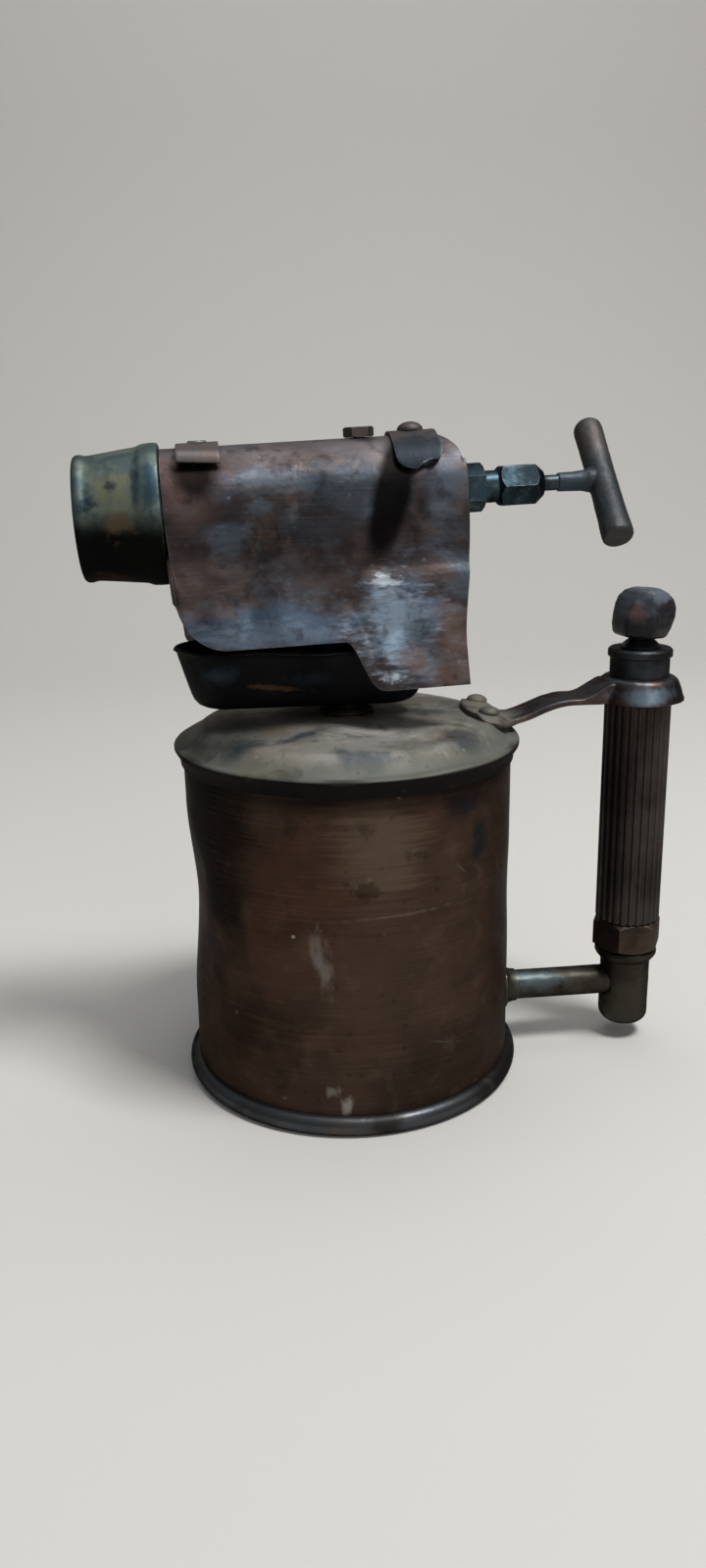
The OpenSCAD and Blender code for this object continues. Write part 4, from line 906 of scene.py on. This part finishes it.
def makeWindshield(look):
    radius, front, back = look["radius"], look["front"], look["back"]
    stepStart = back - look["tabWidth"] - look["stepWidth"]
    rows = 2 * look["panelRows"] + look["archRows"]

    def nearDrop(u):
        step = max((u - stepStart) / look["stepWidth"], 0) ** look["stepSkew"]
        drop = mix(look["nearDrop"], look["tabDrop"], ease(ease(step)))
        return drop - heldBack(u - front, look["corner"])

    def farDrop(u):
        corner = look["farCorner"]
        return look["farDrop"] - heldBack(u - front, corner) - heldBack(back - u, corner)

    def frontEdge(z):
        return front + look["leftSlant"] * max(-z, 0) / look["tabDrop"]

    def backEdge(y, z):
        if z > 0:
            return back - look["endPull"] * (1 - ease(abs(y) / look["endReach"]))
        wave = look["edgeWave"] * math.sin(2 * math.pi * max(-z, 0) / look["waveLength"])
        return back + wave - look["rightSlant"] * max(-z, 0) / look["tabDrop"]

    def creased(u, depth):
        fold = look["crease"]
        below = depth - fold["level"]
        tuck = -fold["tuck"] * ease(depth / fold["level"]) * (1 - ease(below / fold["fold"]))
        lean = fold["lean"] * max(below, 0) / (look["tabDrop"] - fold["level"])
        return (tuck + lean) * ease((u - fold["start"]) / fold["run"])

    def pointAt(across, along):
        share = (1 - math.cos(math.pi * across)) / 2
        u = mix(front, back, share)
        row = along * rows
        if row < look["panelRows"] or row > rows - look["panelRows"]:
            near = row < look["panelRows"]
            drop = nearDrop(u) if near else farDrop(u)
            z = -drop * (1 - min(row, rows - row) / look["panelRows"])
            spread = radius + look["flare"] * -z / look["tabDrop"]
            spread += look["hemFlare"] * ease((-z - drop + look["hem"]) / look["hem"])
            spread += creased(u, -z) if near else 0.0
            y = -spread if near else spread
        else:
            angle = math.pi * (1 - (row - look["panelRows"]) / look["archRows"])
            y = radius * math.cos(angle)
            z = radius * math.sin(angle)
        return Vector((mix(frontEdge(z), backEdge(y, z), share), y, z))

    shield = sheetPiece("bentWindshield", look["columns"], rows, pointAt)
    tidyMesh(shield)
    for side, dents in ((-1, look["dents"]), (1, look["farDents"])):
        for u, z, push, reach in dents:
            spread = radius + look["flare"] * max(-z * mm, 0) / look["tabDrop"]
            spot = (u * mm, side * spread, z * mm)
            pressDent(shield, spot, (0, side * push * mm, 0), reach * mm)
    thicken(shield, look["sheet"], -1, look["edgeRound"])
    placePiece(shield, burnerPlace)
    standFor(shield, "windshield")


makeWindshield(windshield)


# Straps across the shield's top: each hugs the arch, then stands off it as a lip with a turned-down end
straps = {
    "front_strap": {
        "name": "frontStrap", "at": -42 * mm, "width": 12.5 * mm, "hug": 10, "lip": 12.5 * mm,
        "curl": 66, "curlLength": 4.6 * mm, "roundEnd": 0, "twist": 0.5 * mm,
    },
    "rear_strap": {
        "name": "rearStrap", "at": 21.5 * mm, "width": 13.6 * mm, "hug": 25, "lip": 12 * mm,
        "curl": 42, "curlLength": 9 * mm, "roundEnd": 5.2 * mm, "blunt": 2.6, "twist": -0.6 * mm,
    },
}
strapSheet = {
    "columns": 14, "rows": 72, "steps": 400, "radius": 18.78 * mm, "sheet": 1.2 * mm, "edgeRound": 0.25 * mm,
    "tip": 0.02,  # share of the width that is left at a round end
}


def strapLine(look, sheet):
    hugLength = sheet["radius"] * math.radians(look["hug"])
    length = hugLength + look["lip"]
    step = length / sheet["steps"]
    line = [(0.0, sheet["radius"])]
    for i in range(sheet["steps"]):
        run = (i + 0.5) * step
        heading = min(run, hugLength) / sheet["radius"]
        heading += math.radians(look["curl"]) * ease((run - length + look["curlLength"]) / look["curlLength"])
        y, z = line[-1]
        line.append((y + step * math.cos(heading), z - step * math.sin(heading)))
    return line, length


def makeStrap(nodeName, look, sheet):
    line, length = strapLine(look, sheet)

    def pointAt(across, along):
        side = -1 if along < 0.5 else 1
        run = abs(along - 0.5) * 2
        y, z = line[round(run * sheet["steps"])]
        half = look["width"] / 2
        if look["roundEnd"]:
            past = max(run * length - (length - look["roundEnd"]), 0) / look["roundEnd"]
            half *= max(1 - past ** look["blunt"], sheet["tip"]) ** (1 / look["blunt"])
        offset = (2 * across - 1) * half
        lift = look["twist"] * (2 * across - 1) * run * side
        return Vector((look["at"] + offset, side * y, z + lift))

    strap = sheetPiece(look["name"], sheet["columns"], sheet["rows"], pointAt)
    tidyMesh(strap)
    thicken(strap, sheet["sheet"], 1, sheet["edgeRound"])
    placePiece(strap, burnerPlace)
    standFor(strap, nodeName)


for strapNode, strapLook in straps.items():
    makeStrap(strapNode, strapLook, strapSheet)
print("shield and straps bent")


# Tank top: a spun lid with an uneven rim, open where the burner's socket and the filler's neck come through
tankLid = {
    "segments": 192,
    "rim": [  # radius, height
        (52.8, 106), (52.9, 107.4), (53.5, 108.9), (54.2, 110), (54.6, 110.7), (54.6, 111.3), (54.2, 111.8),
        (53.4, 112),
    ],
    "shoulder": (52.6, 44.6, 112, 117.35),
    "lean": 0.18,  # how straight the shoulder's slope is
    "crown": 119.5,
    "hole": 7.05,
    "rings": 14,
    "sheet": 0.7 * mm,
    "ripple": (30 * mm, 0.5 * mm),
    "rimKnocks": [  # degrees round the rim, lift, reach
        (262, -0.7, 10), (238, 0.5, 14), (300, 0.5, 16), (205, -0.6, 14), (335, -0.5, 12), (80, -0.8, 15),
        (140, 0.6, 16),
    ],
    "dents": [  # place on the lid, lift, reach
        (10, -27, -0.9, 20), (-22, -24, -0.6, 14), (30, -22, 0.5, 13), (-20, 22, -0.8, 17),
    ],
}


def makeTankLid(look):
    wide, narrow, low, high = look["shoulder"]
    rings = look["rings"]
    line = list(look["rim"])
    for i in range(rings + 1):
        rise = mix(ease(i / rings), i / rings, look["lean"])
        line.append((mix(wide, narrow, i / rings), mix(low, high, rise)))
    for i in range(1, rings + 1):
        radius = mix(narrow, look["hole"], i / rings)
        line.append((radius, mix(look["crown"], high, (radius / narrow) ** 2)))
    lid = turnedPiece("tankLid", inMm(line), look["segments"])
    tidyMesh(lid)
    rimRadius = max(radius for radius, level in look["rim"])
    for degrees, lift, reach in look["rimKnocks"]:
        spot = around(degrees) * rimRadius + Vector((0, 0, low))
        pressDent(lid, spot * mm, (0, 0, lift * mm), reach * mm)
    for x, y, lift, reach in look["dents"]:
        pressDent(lid, Vector((x, y, high)) * mm, (0, 0, lift * mm), reach * mm)
    ripple(lid, *look["ripple"])
    thicken(lid, look["sheet"], -1)
    neckLow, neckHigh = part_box("filler_neck")
    cutHole(lid, (neckLow + neckHigh) / 2, (neckHigh.x - neckLow.x) / 2, 4 * (neckHigh.z - neckLow.z))
    standFor(lid, "tank_top")


makeTankLid(tankLid)


# Preheating tray: a spun bowl pulled apart into a trough, with a thin flared lip and small knocks
preheatTray = {
    "segments": 80,
    "line": [  # radius, height over the tray's floor, from the lip down
        (16.7, 17.7), (16.1, 17.4), (15.5, 16.9), (15.1, 16.2), (14.7, 14.6), (13.9, 12), (13, 9), (12.1, 6),
        (11.3, 3.5), (10.6, 1.9), (9.6, 0.8), (8.4, 0.2), (7.2, 0), (3, 0), (0.5, 0),
    ],
    "halfPull": 23.7 * mm,
    "cuts": 11,
    "at": (-12.4 * mm, 0, 124.22 * mm),
    "sheet": 1.0 * mm,
    "edgeRound": 0.2 * mm,
    "dents": [  # along, across, height, push towards +y, lift, reach
        (-18, -15, 15, 0.9, 0.5, 13), (6, -15, 15, -0.7, -0.5, 12), (26, -14, 14, 0.7, 0.3, 10),
        (-36, -7, 17, 0.5, 0.7, 9), (0, 15, 15, -0.9, 0.4, 15), (-4, -12, 5, 0.8, 0, 12),
    ],
}


def makeTray(look):
    tray = turnedPiece("preheatTray", inMm(look["line"]), look["segments"])

    def crossesMiddle(edge):
        return math.prod(tray.data.vertices[i].co.x for i in edge.vertices) < 0

    editPiece(tray)
    bpy.ops.mesh.edge_face_add()
    bpy.ops.mesh.select_all(action="SELECT")
    bpy.ops.transform.rotate(value=math.pi / look["segments"], orient_axis="Z", center_override=(0, 0, 0))
    leaveEdit()
    for side in (-1, 1):
        selectWhere(tray, "VERT", lambda vertex: vertex.co.x * side > 0)
        bpy.ops.transform.translate(value=(side * look["halfPull"], 0, 0))
        leaveEdit()
    selectWhere(tray, "EDGE", crossesMiddle)
    bpy.ops.mesh.subdivide(number_cuts=look["cuts"])
    leaveEdit()
    tidyMesh(tray)
    for along, across, level, push, lift, reach in look["dents"]:
        pressDent(tray, Vector((along, across, level)) * mm, (0, push * mm, lift * mm), reach * mm)
    thicken(tray, look["sheet"], 1, look["edgeRound"])
    placePiece(tray, Matrix.Translation(look["at"]))
    standFor(tray, "preheat_tray")


makeTray(preheatTray)


# Nozzle: a turned tip with a rounded collar, a waist and a rolled mouth, knocked a little out of round
nozzleTip = {
    "segments": 144,
    "line": [  # radius, distance ahead of the riser
        (16.65, 53.3), (19.8, 53.3), (20.4, 53.6), (20.65, 54.2), (20.65, 56), (20.5, 58), (20.25, 58.9),
        (19.95, 59.5), (19.75, 60.2), (19.6, 61.4), (19.3, 64), (18.8, 68), (18.3, 72), (18.1, 73.8),
        (18.1, 74.6), (18.2, 75.2), (18.4, 75.9), (18.45, 76.8), (18.25, 77.6), (17.8, 78.1), (17.2, 78.3),
        (16.6, 78.2), (16.1, 77.8), (15.7, 75), (14.4, 64), (13.6, 57.05), (16.65, 57.05), (16.65, 53.3),
    ],
    "knocks": [  # degrees round from the top, minus to the near side, distance ahead, push outwards, reach
        (-60, 77.5, -0.6, 13), (-140, 77.5, 0.5, 15), (-250, 77, -0.5, 14), (-85, 66, -0.45, 8),
        (-35, 70, 0.3, 8), (-70, 57, -0.3, 7),
    ],
}


def makeNozzle(look):
    line = inMm(look["line"])
    tip = turnedPiece("nozzleTip", line, look["segments"])
    tidyMesh(tip)
    widest = max(radius for radius, ahead in line)
    knockAll(tip, widest, look["knocks"])
    placePiece(tip, burnerPlace @ Matrix.Rotation(math.radians(-90), 4, "Y"))
    standFor(tip, "nozzle")


makeNozzle(nozzleTip)


# Pump knob: a turned knob carved into flats, with uneven, chipped edges, sitting a little askew
facetedKnob = {
    "flats": 7,
    "turn": 22,
    "line": [  # radius, height over the knob's foot
        (8.2, 0), (9.3, 0.8), (9.9, 3.4), (9.85, 7), (9.5, 10), (8.7, 12.5), (6.9, 14.4), (4.8, 15.2),
        (0.4, 15.4),
    ],
    "lift": 0.4 * mm,
    "lean": 4,
    "edgeRound": 0.4 * mm,
    "edgeAngle": 12,
    "edgeSteps": 3,
    "fineness": 2,
    "cuts": [  # degrees round, height, push outwards, reach
        (225, 2, 0.8, 6), (290, 9, -1.0, 6), (205, 11.8, -2.0, 7), (345, 9.5, 0.6, 6), (345, 1, -1.1, 6),
        (270, 13.8, -0.7, 5), (60, 9, -0.8, 7),
    ],
    "chips": [  # the same, small, knocked out once the edges are rounded
        (312, 8.5, -0.5, 2.6), (300, 5.2, -0.4, 2.2), (243, 13, -0.45, 2.4), (275, 1.2, -0.4, 2),
        (30, 6, -0.5, 2.8),
    ],
}


def makeKnob(look):
    low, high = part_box("pump_knob")
    line = inMm(look["line"])
    knob = turnedPiece("facetedKnob", line, look["flats"])
    widest = max(radius for radius, level in line)
    editPiece(knob)
    bpy.ops.mesh.select_all(action="SELECT")
    bpy.ops.transform.rotate(value=math.radians(look["turn"]), orient_axis="Z", center_override=(0, 0, 0))
    bpy.ops.mesh.select_all(action="DESELECT")
    bpy.ops.mesh.select_non_manifold()
    bpy.ops.mesh.edge_face_add()
    leaveEdit()
    tidyMesh(knob)
    knockAll(knob, widest, look["cuts"])
    roundEdges(knob, look["edgeRound"], look["edgeAngle"], look["edgeSteps"])
    applyModifier(knob, "SUBSURF", subdivision_type="SIMPLE", levels=look["fineness"])
    knockAll(knob, widest, look["chips"])
    foot = Vector(((low.x + high.x) / 2, (low.y + high.y) / 2, low.z + look["lift"]))
    placePiece(knob, Matrix.Translation(foot) @ Matrix.Rotation(math.radians(look["lean"]), 4, "Y"))
    standFor(knob, "pump_knob")


makeKnob(facetedKnob)
print("lid, tray, nozzle and knob shaped")


# Pump bracket: a strap that ends in a rounded tongue on the lid, brazed to a flared collar round the pump
pumpBracket = {
    "columns": 30,
    "rows": 130,
    "start": 37.5,
    "end": 84.6,
    "tongue": {"widest": 46.5, "half": 15, "blunt": 2.6, "tip": 0.002, "droop": 2.0, "droopFrom": 10.8},
    "arm": {"half": 7.5, "neckFrom": 45.5, "neckRun": 9},
    "foot": {"at": 44, "level": 117.4, "slope": 0.089},
    "dip": {"from": 45, "run": 6.5, "level": 114.1},
    "rise": {"from": 50.5, "run": 21, "level": 119.75},
    "web": {"from": 73.9, "run": 13, "height": 5.2},
    "thick": 1.9,
    "collar": [  # radius, height over the collar's foot
        (8.1, 7.7), (10.4, 7.7), (11.4, 7.45), (12.2, 6.8), (12.8, 5.8), (13.5, 3.9), (14.2, 1.6),
        (14.7, 0.3), (14.6, 0), (13.2, 0), (11.9, 3.6), (11, 5.4), (8.1, 5.9), (8.1, 7.7),
    ],
    "collarSegments": 96,
    "voxel": 0.4 * mm,
    "passes": 4,
    "ripple": (6 * mm, 0.25 * mm),
    "smooth": 60,
}


def makeBracket(look):
    tongue, arm, foot = look["tongue"], look["arm"], look["foot"]
    dip, rise, web = look["dip"], look["rise"], look["web"]

    def level(x):
        flat = foot["level"] - (x - foot["at"]) * foot["slope"]
        dipped = mix(flat, dip["level"], ease((x - dip["from"]) / dip["run"]))
        return mix(dipped, rise["level"], ease((x - rise["from"]) / rise["run"]))

    def halfWidth(x):
        past = min(max(tongue["widest"] - x, 0) / (tongue["widest"] - look["start"]), 1)
        rounded = tongue["half"] * max(1 - past ** tongue["blunt"], tongue["tip"]) ** (1 / tongue["blunt"])
        return mix(rounded, arm["half"], ease((x - arm["neckFrom"]) / arm["neckRun"]))

    def pointAt(across, along):
        x = mix(look["start"], look["end"], along)
        y = (1 - 2 * across) * halfWidth(x)
        hang = tongue["droop"] * ease((abs(y) - tongue["droopFrom"]) / (tongue["half"] - tongue["droopFrom"]))
        return Vector((x, y, level(x) - hang)) * mm

    strap = sheetPiece("bracketStrap", look["columns"], look["rows"], pointAt)
    applyModifier(strap, "SOLIDIFY", thickness=look["thick"] * mm, offset=1)
    for vertex in strap.data.vertices:
        x = vertex.co.x / mm
        if vertex.co.z / mm > level(x) + look["thick"] / 2:
            vertex.co.z += web["height"] * mm * ease((x - web["from"]) / web["run"])
    capLow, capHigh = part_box("pump_cap")
    collar = turnedPiece("bracketCollar", inMm(look["collar"]), look["collarSegments"])
    tidyMesh(collar)
    placePiece(collar, Matrix.Translation(((capLow.x + capHigh.x) / 2, 0, rise["level"] * mm)))
    weld(strap, collar, look["voxel"], look["passes"])
    ripple(strap, *look["ripple"])
    standFor(strap, "pump_bracket", look["smooth"])


makeBracket(pumpBracket)


# Base nut: a hexagon with its corners turned down, over the lip at the elbow's mouth
baseNut = {
    "turned": [(9.7, 33), (12.4, 34.9), (12.4, 41.8), (10.2, 43.5)],  # radius, height
    "turn": 30,
    "bore": 8.05 * mm,
    "edgeRound": 0.3 * mm,
    "edgeAngle": 24,
    "lip": [  # radius, height, round the elbow's mouth
        (8.6, 28.8), (9.2, 29.3), (10, 30.3), (10.4, 31.1), (10.4, 32.1), (10.1, 32.6), (8.6, 32.7),
        (8.6, 28.8),
    ],
    "segments": 96,
}


def makeBaseNut(look):
    low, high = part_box("pump_base_nut")
    middle = (low + high) / 2
    onPump = Matrix.Translation((middle.x, middle.y, 0))
    turn = math.radians(look["turn"])
    nut = hexNut("baseNut", inMm(look["turned"]), (high.x - low.x) / 2, turn, look["segments"])
    cutHole(nut, (0, 0, middle.z), look["bore"], 2 * (high.z - low.z))
    roundEdges(nut, look["edgeRound"], look["edgeAngle"])
    placePiece(nut, onPump)
    standFor(nut, "pump_base_nut")
    lip = turnedPiece("elbowLip", inMm(look["lip"]), look["segments"])
    tidyMesh(lip)
    placePiece(lip, onPump)
    dressLike(lip, "pump_elbow")


makeBaseNut(baseNut)
print("bracket and base nut made")


# Gland nut: one long hexagon with a coned end, bored for the bonnet's neck and for the stem
alongValve = Matrix.Rotation(math.radians(90), 4, "Y")
glandNut = {
    "turned": [(5.2, 0), (6.75, 1.7), (6.75, 11.1), (3.9, 14.3)],  # radius, distance from the bonnet
    "flats": 11.6 * mm,
    "neckBore": (4.85 * mm, 6 * mm),
    "stemBore": 2.43 * mm,
    "edgeRound": 0.22 * mm,
    "edgeAngle": 20,
    "segments": 96,
    "smooth": 28,
}


def spanOnValve(nodeName):
    toValve = valvePlace.inverted() @ nodes[nodeName].matrix_world
    along = [(toValve @ vertex.co).x for vertex in nodes[nodeName].data.vertices]
    return min(along), max(along)


def makeGlandNut(look):
    start, end = spanOnValve("gland_nut")
    nut = hexNut("glandNut", inMm(look["turned"]), look["flats"] / math.sqrt(3), 0, look["segments"])
    neckRadius, neckDepth = look["neckBore"]
    cutHole(nut, (0, 0, 0), neckRadius, 2 * neckDepth)
    cutHole(nut, (0, 0, 0), look["stemBore"], 3 * (end - start))
    roundEdges(nut, look["edgeRound"], look["edgeAngle"])
    placePiece(nut, valvePlace @ Matrix.Translation((start, 0, 0)) @ alongValve)
    standFor(nut, "gland_nut", look["smooth"])


makeGlandNut(glandNut)


# T-handle: a forged bar, a little thicker at its ends, run together with a stout neck over the stem
forgedHandle = {
    "bar": [  # radius, distance along the bar from its middle
        (4.2, -23), (4.75, -22.5), (4.85, -21), (4.55, -14), (4.4, -5), (4.4, 5), (4.45, 13), (4.55, 19.5),
        (4.35, 21.2), (3.7, 22.3), (2.4, 23),
    ],
    "radius": 4.4 * mm,
    "turn": -44,
    "neck": [  # radius, distance from the bar's axis
        (2.66, -14.2), (2.85, -13.8), (2.95, -9.4), (3.05, -7), (3.3, -5.6), (3.6, -4.6), (3.6, -3.4),
        (2.8, 0),
    ],
    "bore": (2.43 * mm, -20 * mm, 0.75 * mm),  # radius, start, end
    "segments": 64,
    "voxel": 0.3 * mm,
    "passes": 6,
    "ripple": (3 * mm, 0.12 * mm),
    "smooth": 60,
}


def makeHandle(look):
    outerSide = spanOnValve("t_handle")[1]
    bar = turnedPiece("handleBar", inMm(look["bar"]), look["segments"])
    closeEnds(bar)
    placePiece(bar, alongValve.inverted() @ Matrix.Rotation(math.radians(look["turn"]), 4, "X"))
    handle = turnedPiece("forgedHandle", inMm(look["neck"]), look["segments"])
    closeEnds(handle)
    weld(handle, bar, look["voxel"], look["passes"])
    ripple(handle, *look["ripple"])
    boreRadius, boreLow, boreHigh = look["bore"]
    cutHole(handle, (0, 0, (boreLow + boreHigh) / 2), boreRadius, boreHigh - boreLow)
    placePiece(handle, valvePlace @ Matrix.Translation((outerSide - look["radius"], 0, 0)) @ alongValve)
    standFor(handle, "t_handle", look["smooth"])


makeHandle(forgedHandle)
print("gland nut and handle made")


# Spring of the non-return valve: a coil of round wire at its rest length. The real one shortens when air pushes
# the disc down; the valve's travel is read here, but the coil is not made to shorten
valveSpring = {"turns": 6, "wire": 0.45 * mm, "sides": 10, "steps": 24}


def makeValveSpring(look):
    low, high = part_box("check_valve_spring")
    middle = (low + high) / 2
    coil = (high.x - low.x) / 2 - look["wire"]
    pitch = (high.z - low.z - 2 * look["wire"]) / look["turns"]
    bpy.ops.object.select_all(action="DESELECT")
    bpy.ops.mesh.primitive_circle_add(
        vertices=look["sides"], radius=look["wire"], rotation=(math.pi / 2, 0, 0), location=(coil, 0, 0))
    spring = bpy.context.object
    spring.name = "valveSpring"
    applyPlace()
    winding = {"iterations": look["turns"], "steps": look["steps"], "render_steps": look["steps"]}
    applyModifier(spring, "SCREW", screw_offset=pitch, **winding)
    closeEnds(spring)
    placePiece(spring, Matrix.Translation((middle.x, middle.y, low.z + look["wire"])))
    standFor(spring, "check_valve_spring")
    joints = frame["record"]["behaviour"]["joints"]
    lift = next(joint for joint in joints if joint["name"] == "check_valve_lift")
    travel = max(abs(limit) for limit in lift["range_m"])
    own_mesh(spring)


makeValveSpring(valveSpring)
print("spring wound")


# Elbow: keeps its solid, and a fine remesh softens its edges and leaves a cast skin
elbowSkin = {"voxel": 0.4 * mm, "passes": 4, "grain": 5 * mm, "depth": 0.25 * mm}


def castSkin(node, look):
    cloud = bpy.data.textures.new(node.name + "Skin", "CLOUDS")
    cloud.noise_scale = look["grain"]
    addModifier(node, "REMESH", mode="VOXEL", voxel_size=look["voxel"], use_smooth_shade=True)
    addModifier(node, "SMOOTH", iterations=look["passes"])
    addModifier(node, "DISPLACE", texture=cloud, texture_coords="LOCAL", strength=look["depth"])


castSkin(nodes["pump_elbow"], elbowSkin)
print("elbow's cast skin set")


# Pale floor that sweeps up into a backdrop, and soft light
stageLook = {
    "floorHalf": 5,
    "backdropY": 1.3,
    "backdropHeight": 2.0,
    "sweep": 0.6,
    "sweepSteps": 16,
    "colour": "c4c1bc",
    "rough": 0.9,
}


def makeStage(look):
    half = look["floorHalf"]
    bpy.ops.object.select_all(action="DESELECT")
    bpy.ops.mesh.primitive_plane_add(size=2 * half, location=(0, look["backdropY"] - half, 0))
    floor = bpy.context.object
    floor.name = "studioFloor"

    def backOfFloor(edge):
        ends = [floor.data.vertices[i].co for i in edge.vertices]
        return all(end.y > 0 and end.z < look["sweep"] for end in ends)

    selectWhere(floor, "EDGE", backOfFloor)
    bpy.ops.mesh.extrude_region_move(TRANSFORM_OT_translate={"value": (0, 0, look["backdropHeight"])})
    leaveEdit()
    selectWhere(floor, "EDGE", backOfFloor)
    bpy.ops.mesh.bevel(offset=look["sweep"], segments=look["sweepSteps"], affect="EDGES")
    leaveEdit()
    bpy.ops.object.shade_smooth()
    material = bpy.data.materials.new("studioPaper")
    material.use_nodes = True
    paper = material.node_tree.nodes["Principled BSDF"]
    paper.inputs["Base Color"].default_value = tint(look["colour"])
    paper.inputs["Roughness"].default_value = look["rough"]
    floor.data.materials.append(material)


lamps = {
    "ceilingLamp": {"place": (0.5, -0.42, 1.5), "aim": (0, 0, 0.12), "size": 0.42, "power": 22},
    "skyPanel": {"place": (0.1, 0.3, 1.7), "aim": (0, 0, 0.1), "size": 1.2, "power": 7},
    "frontPanel": {"place": (0.5, -1.5, 0.6), "aim": (0, 0, 0.12), "size": 0.8, "power": 3},
}
skyLook = {"high": "d5dde4", "low": "7c7874", "lowTo": -0.1, "highFrom": 0.9, "strength": 0.42}


def makeLamp(name, lamp):
    data = bpy.data.lights.new(name, "AREA")
    data.shape = "SQUARE"
    data.size = lamp["size"]
    data.energy = lamp["power"]
    holder = bpy.data.objects.new(name, data)
    bpy.context.scene.collection.objects.link(holder)
    holder.location = lamp["place"]
    holder.rotation_mode = "QUATERNION"
    holder.rotation_quaternion = (Vector(lamp["aim"]) - Vector(lamp["place"])).to_track_quat("-Z", "Y")


def makeSky(look):
    world = bpy.data.worlds.new("studioWorld")
    world.use_nodes = True
    tree = world.node_tree
    direction = put(tree, "TexCoord").outputs["Generated"]
    rise = put(tree, "SeparateXYZ", {"Vector": direction}).outputs["Z"]
    share = ramp(tree, rise, look["lowTo"], look["highFrom"])
    sky = mixColour(tree, share, tint(look["low"]), tint(look["high"]))
    tree.links.new(sky, tree.nodes["Background"].inputs["Color"])
    tree.nodes["Background"].inputs["Strength"].default_value = look["strength"]
    bpy.context.scene.world = world


makeStage(stageLook)
for lampName, lampLook in lamps.items():
    makeLamp(lampName, lampLook)
makeSky(skyLook)
print("stage and lamps set")
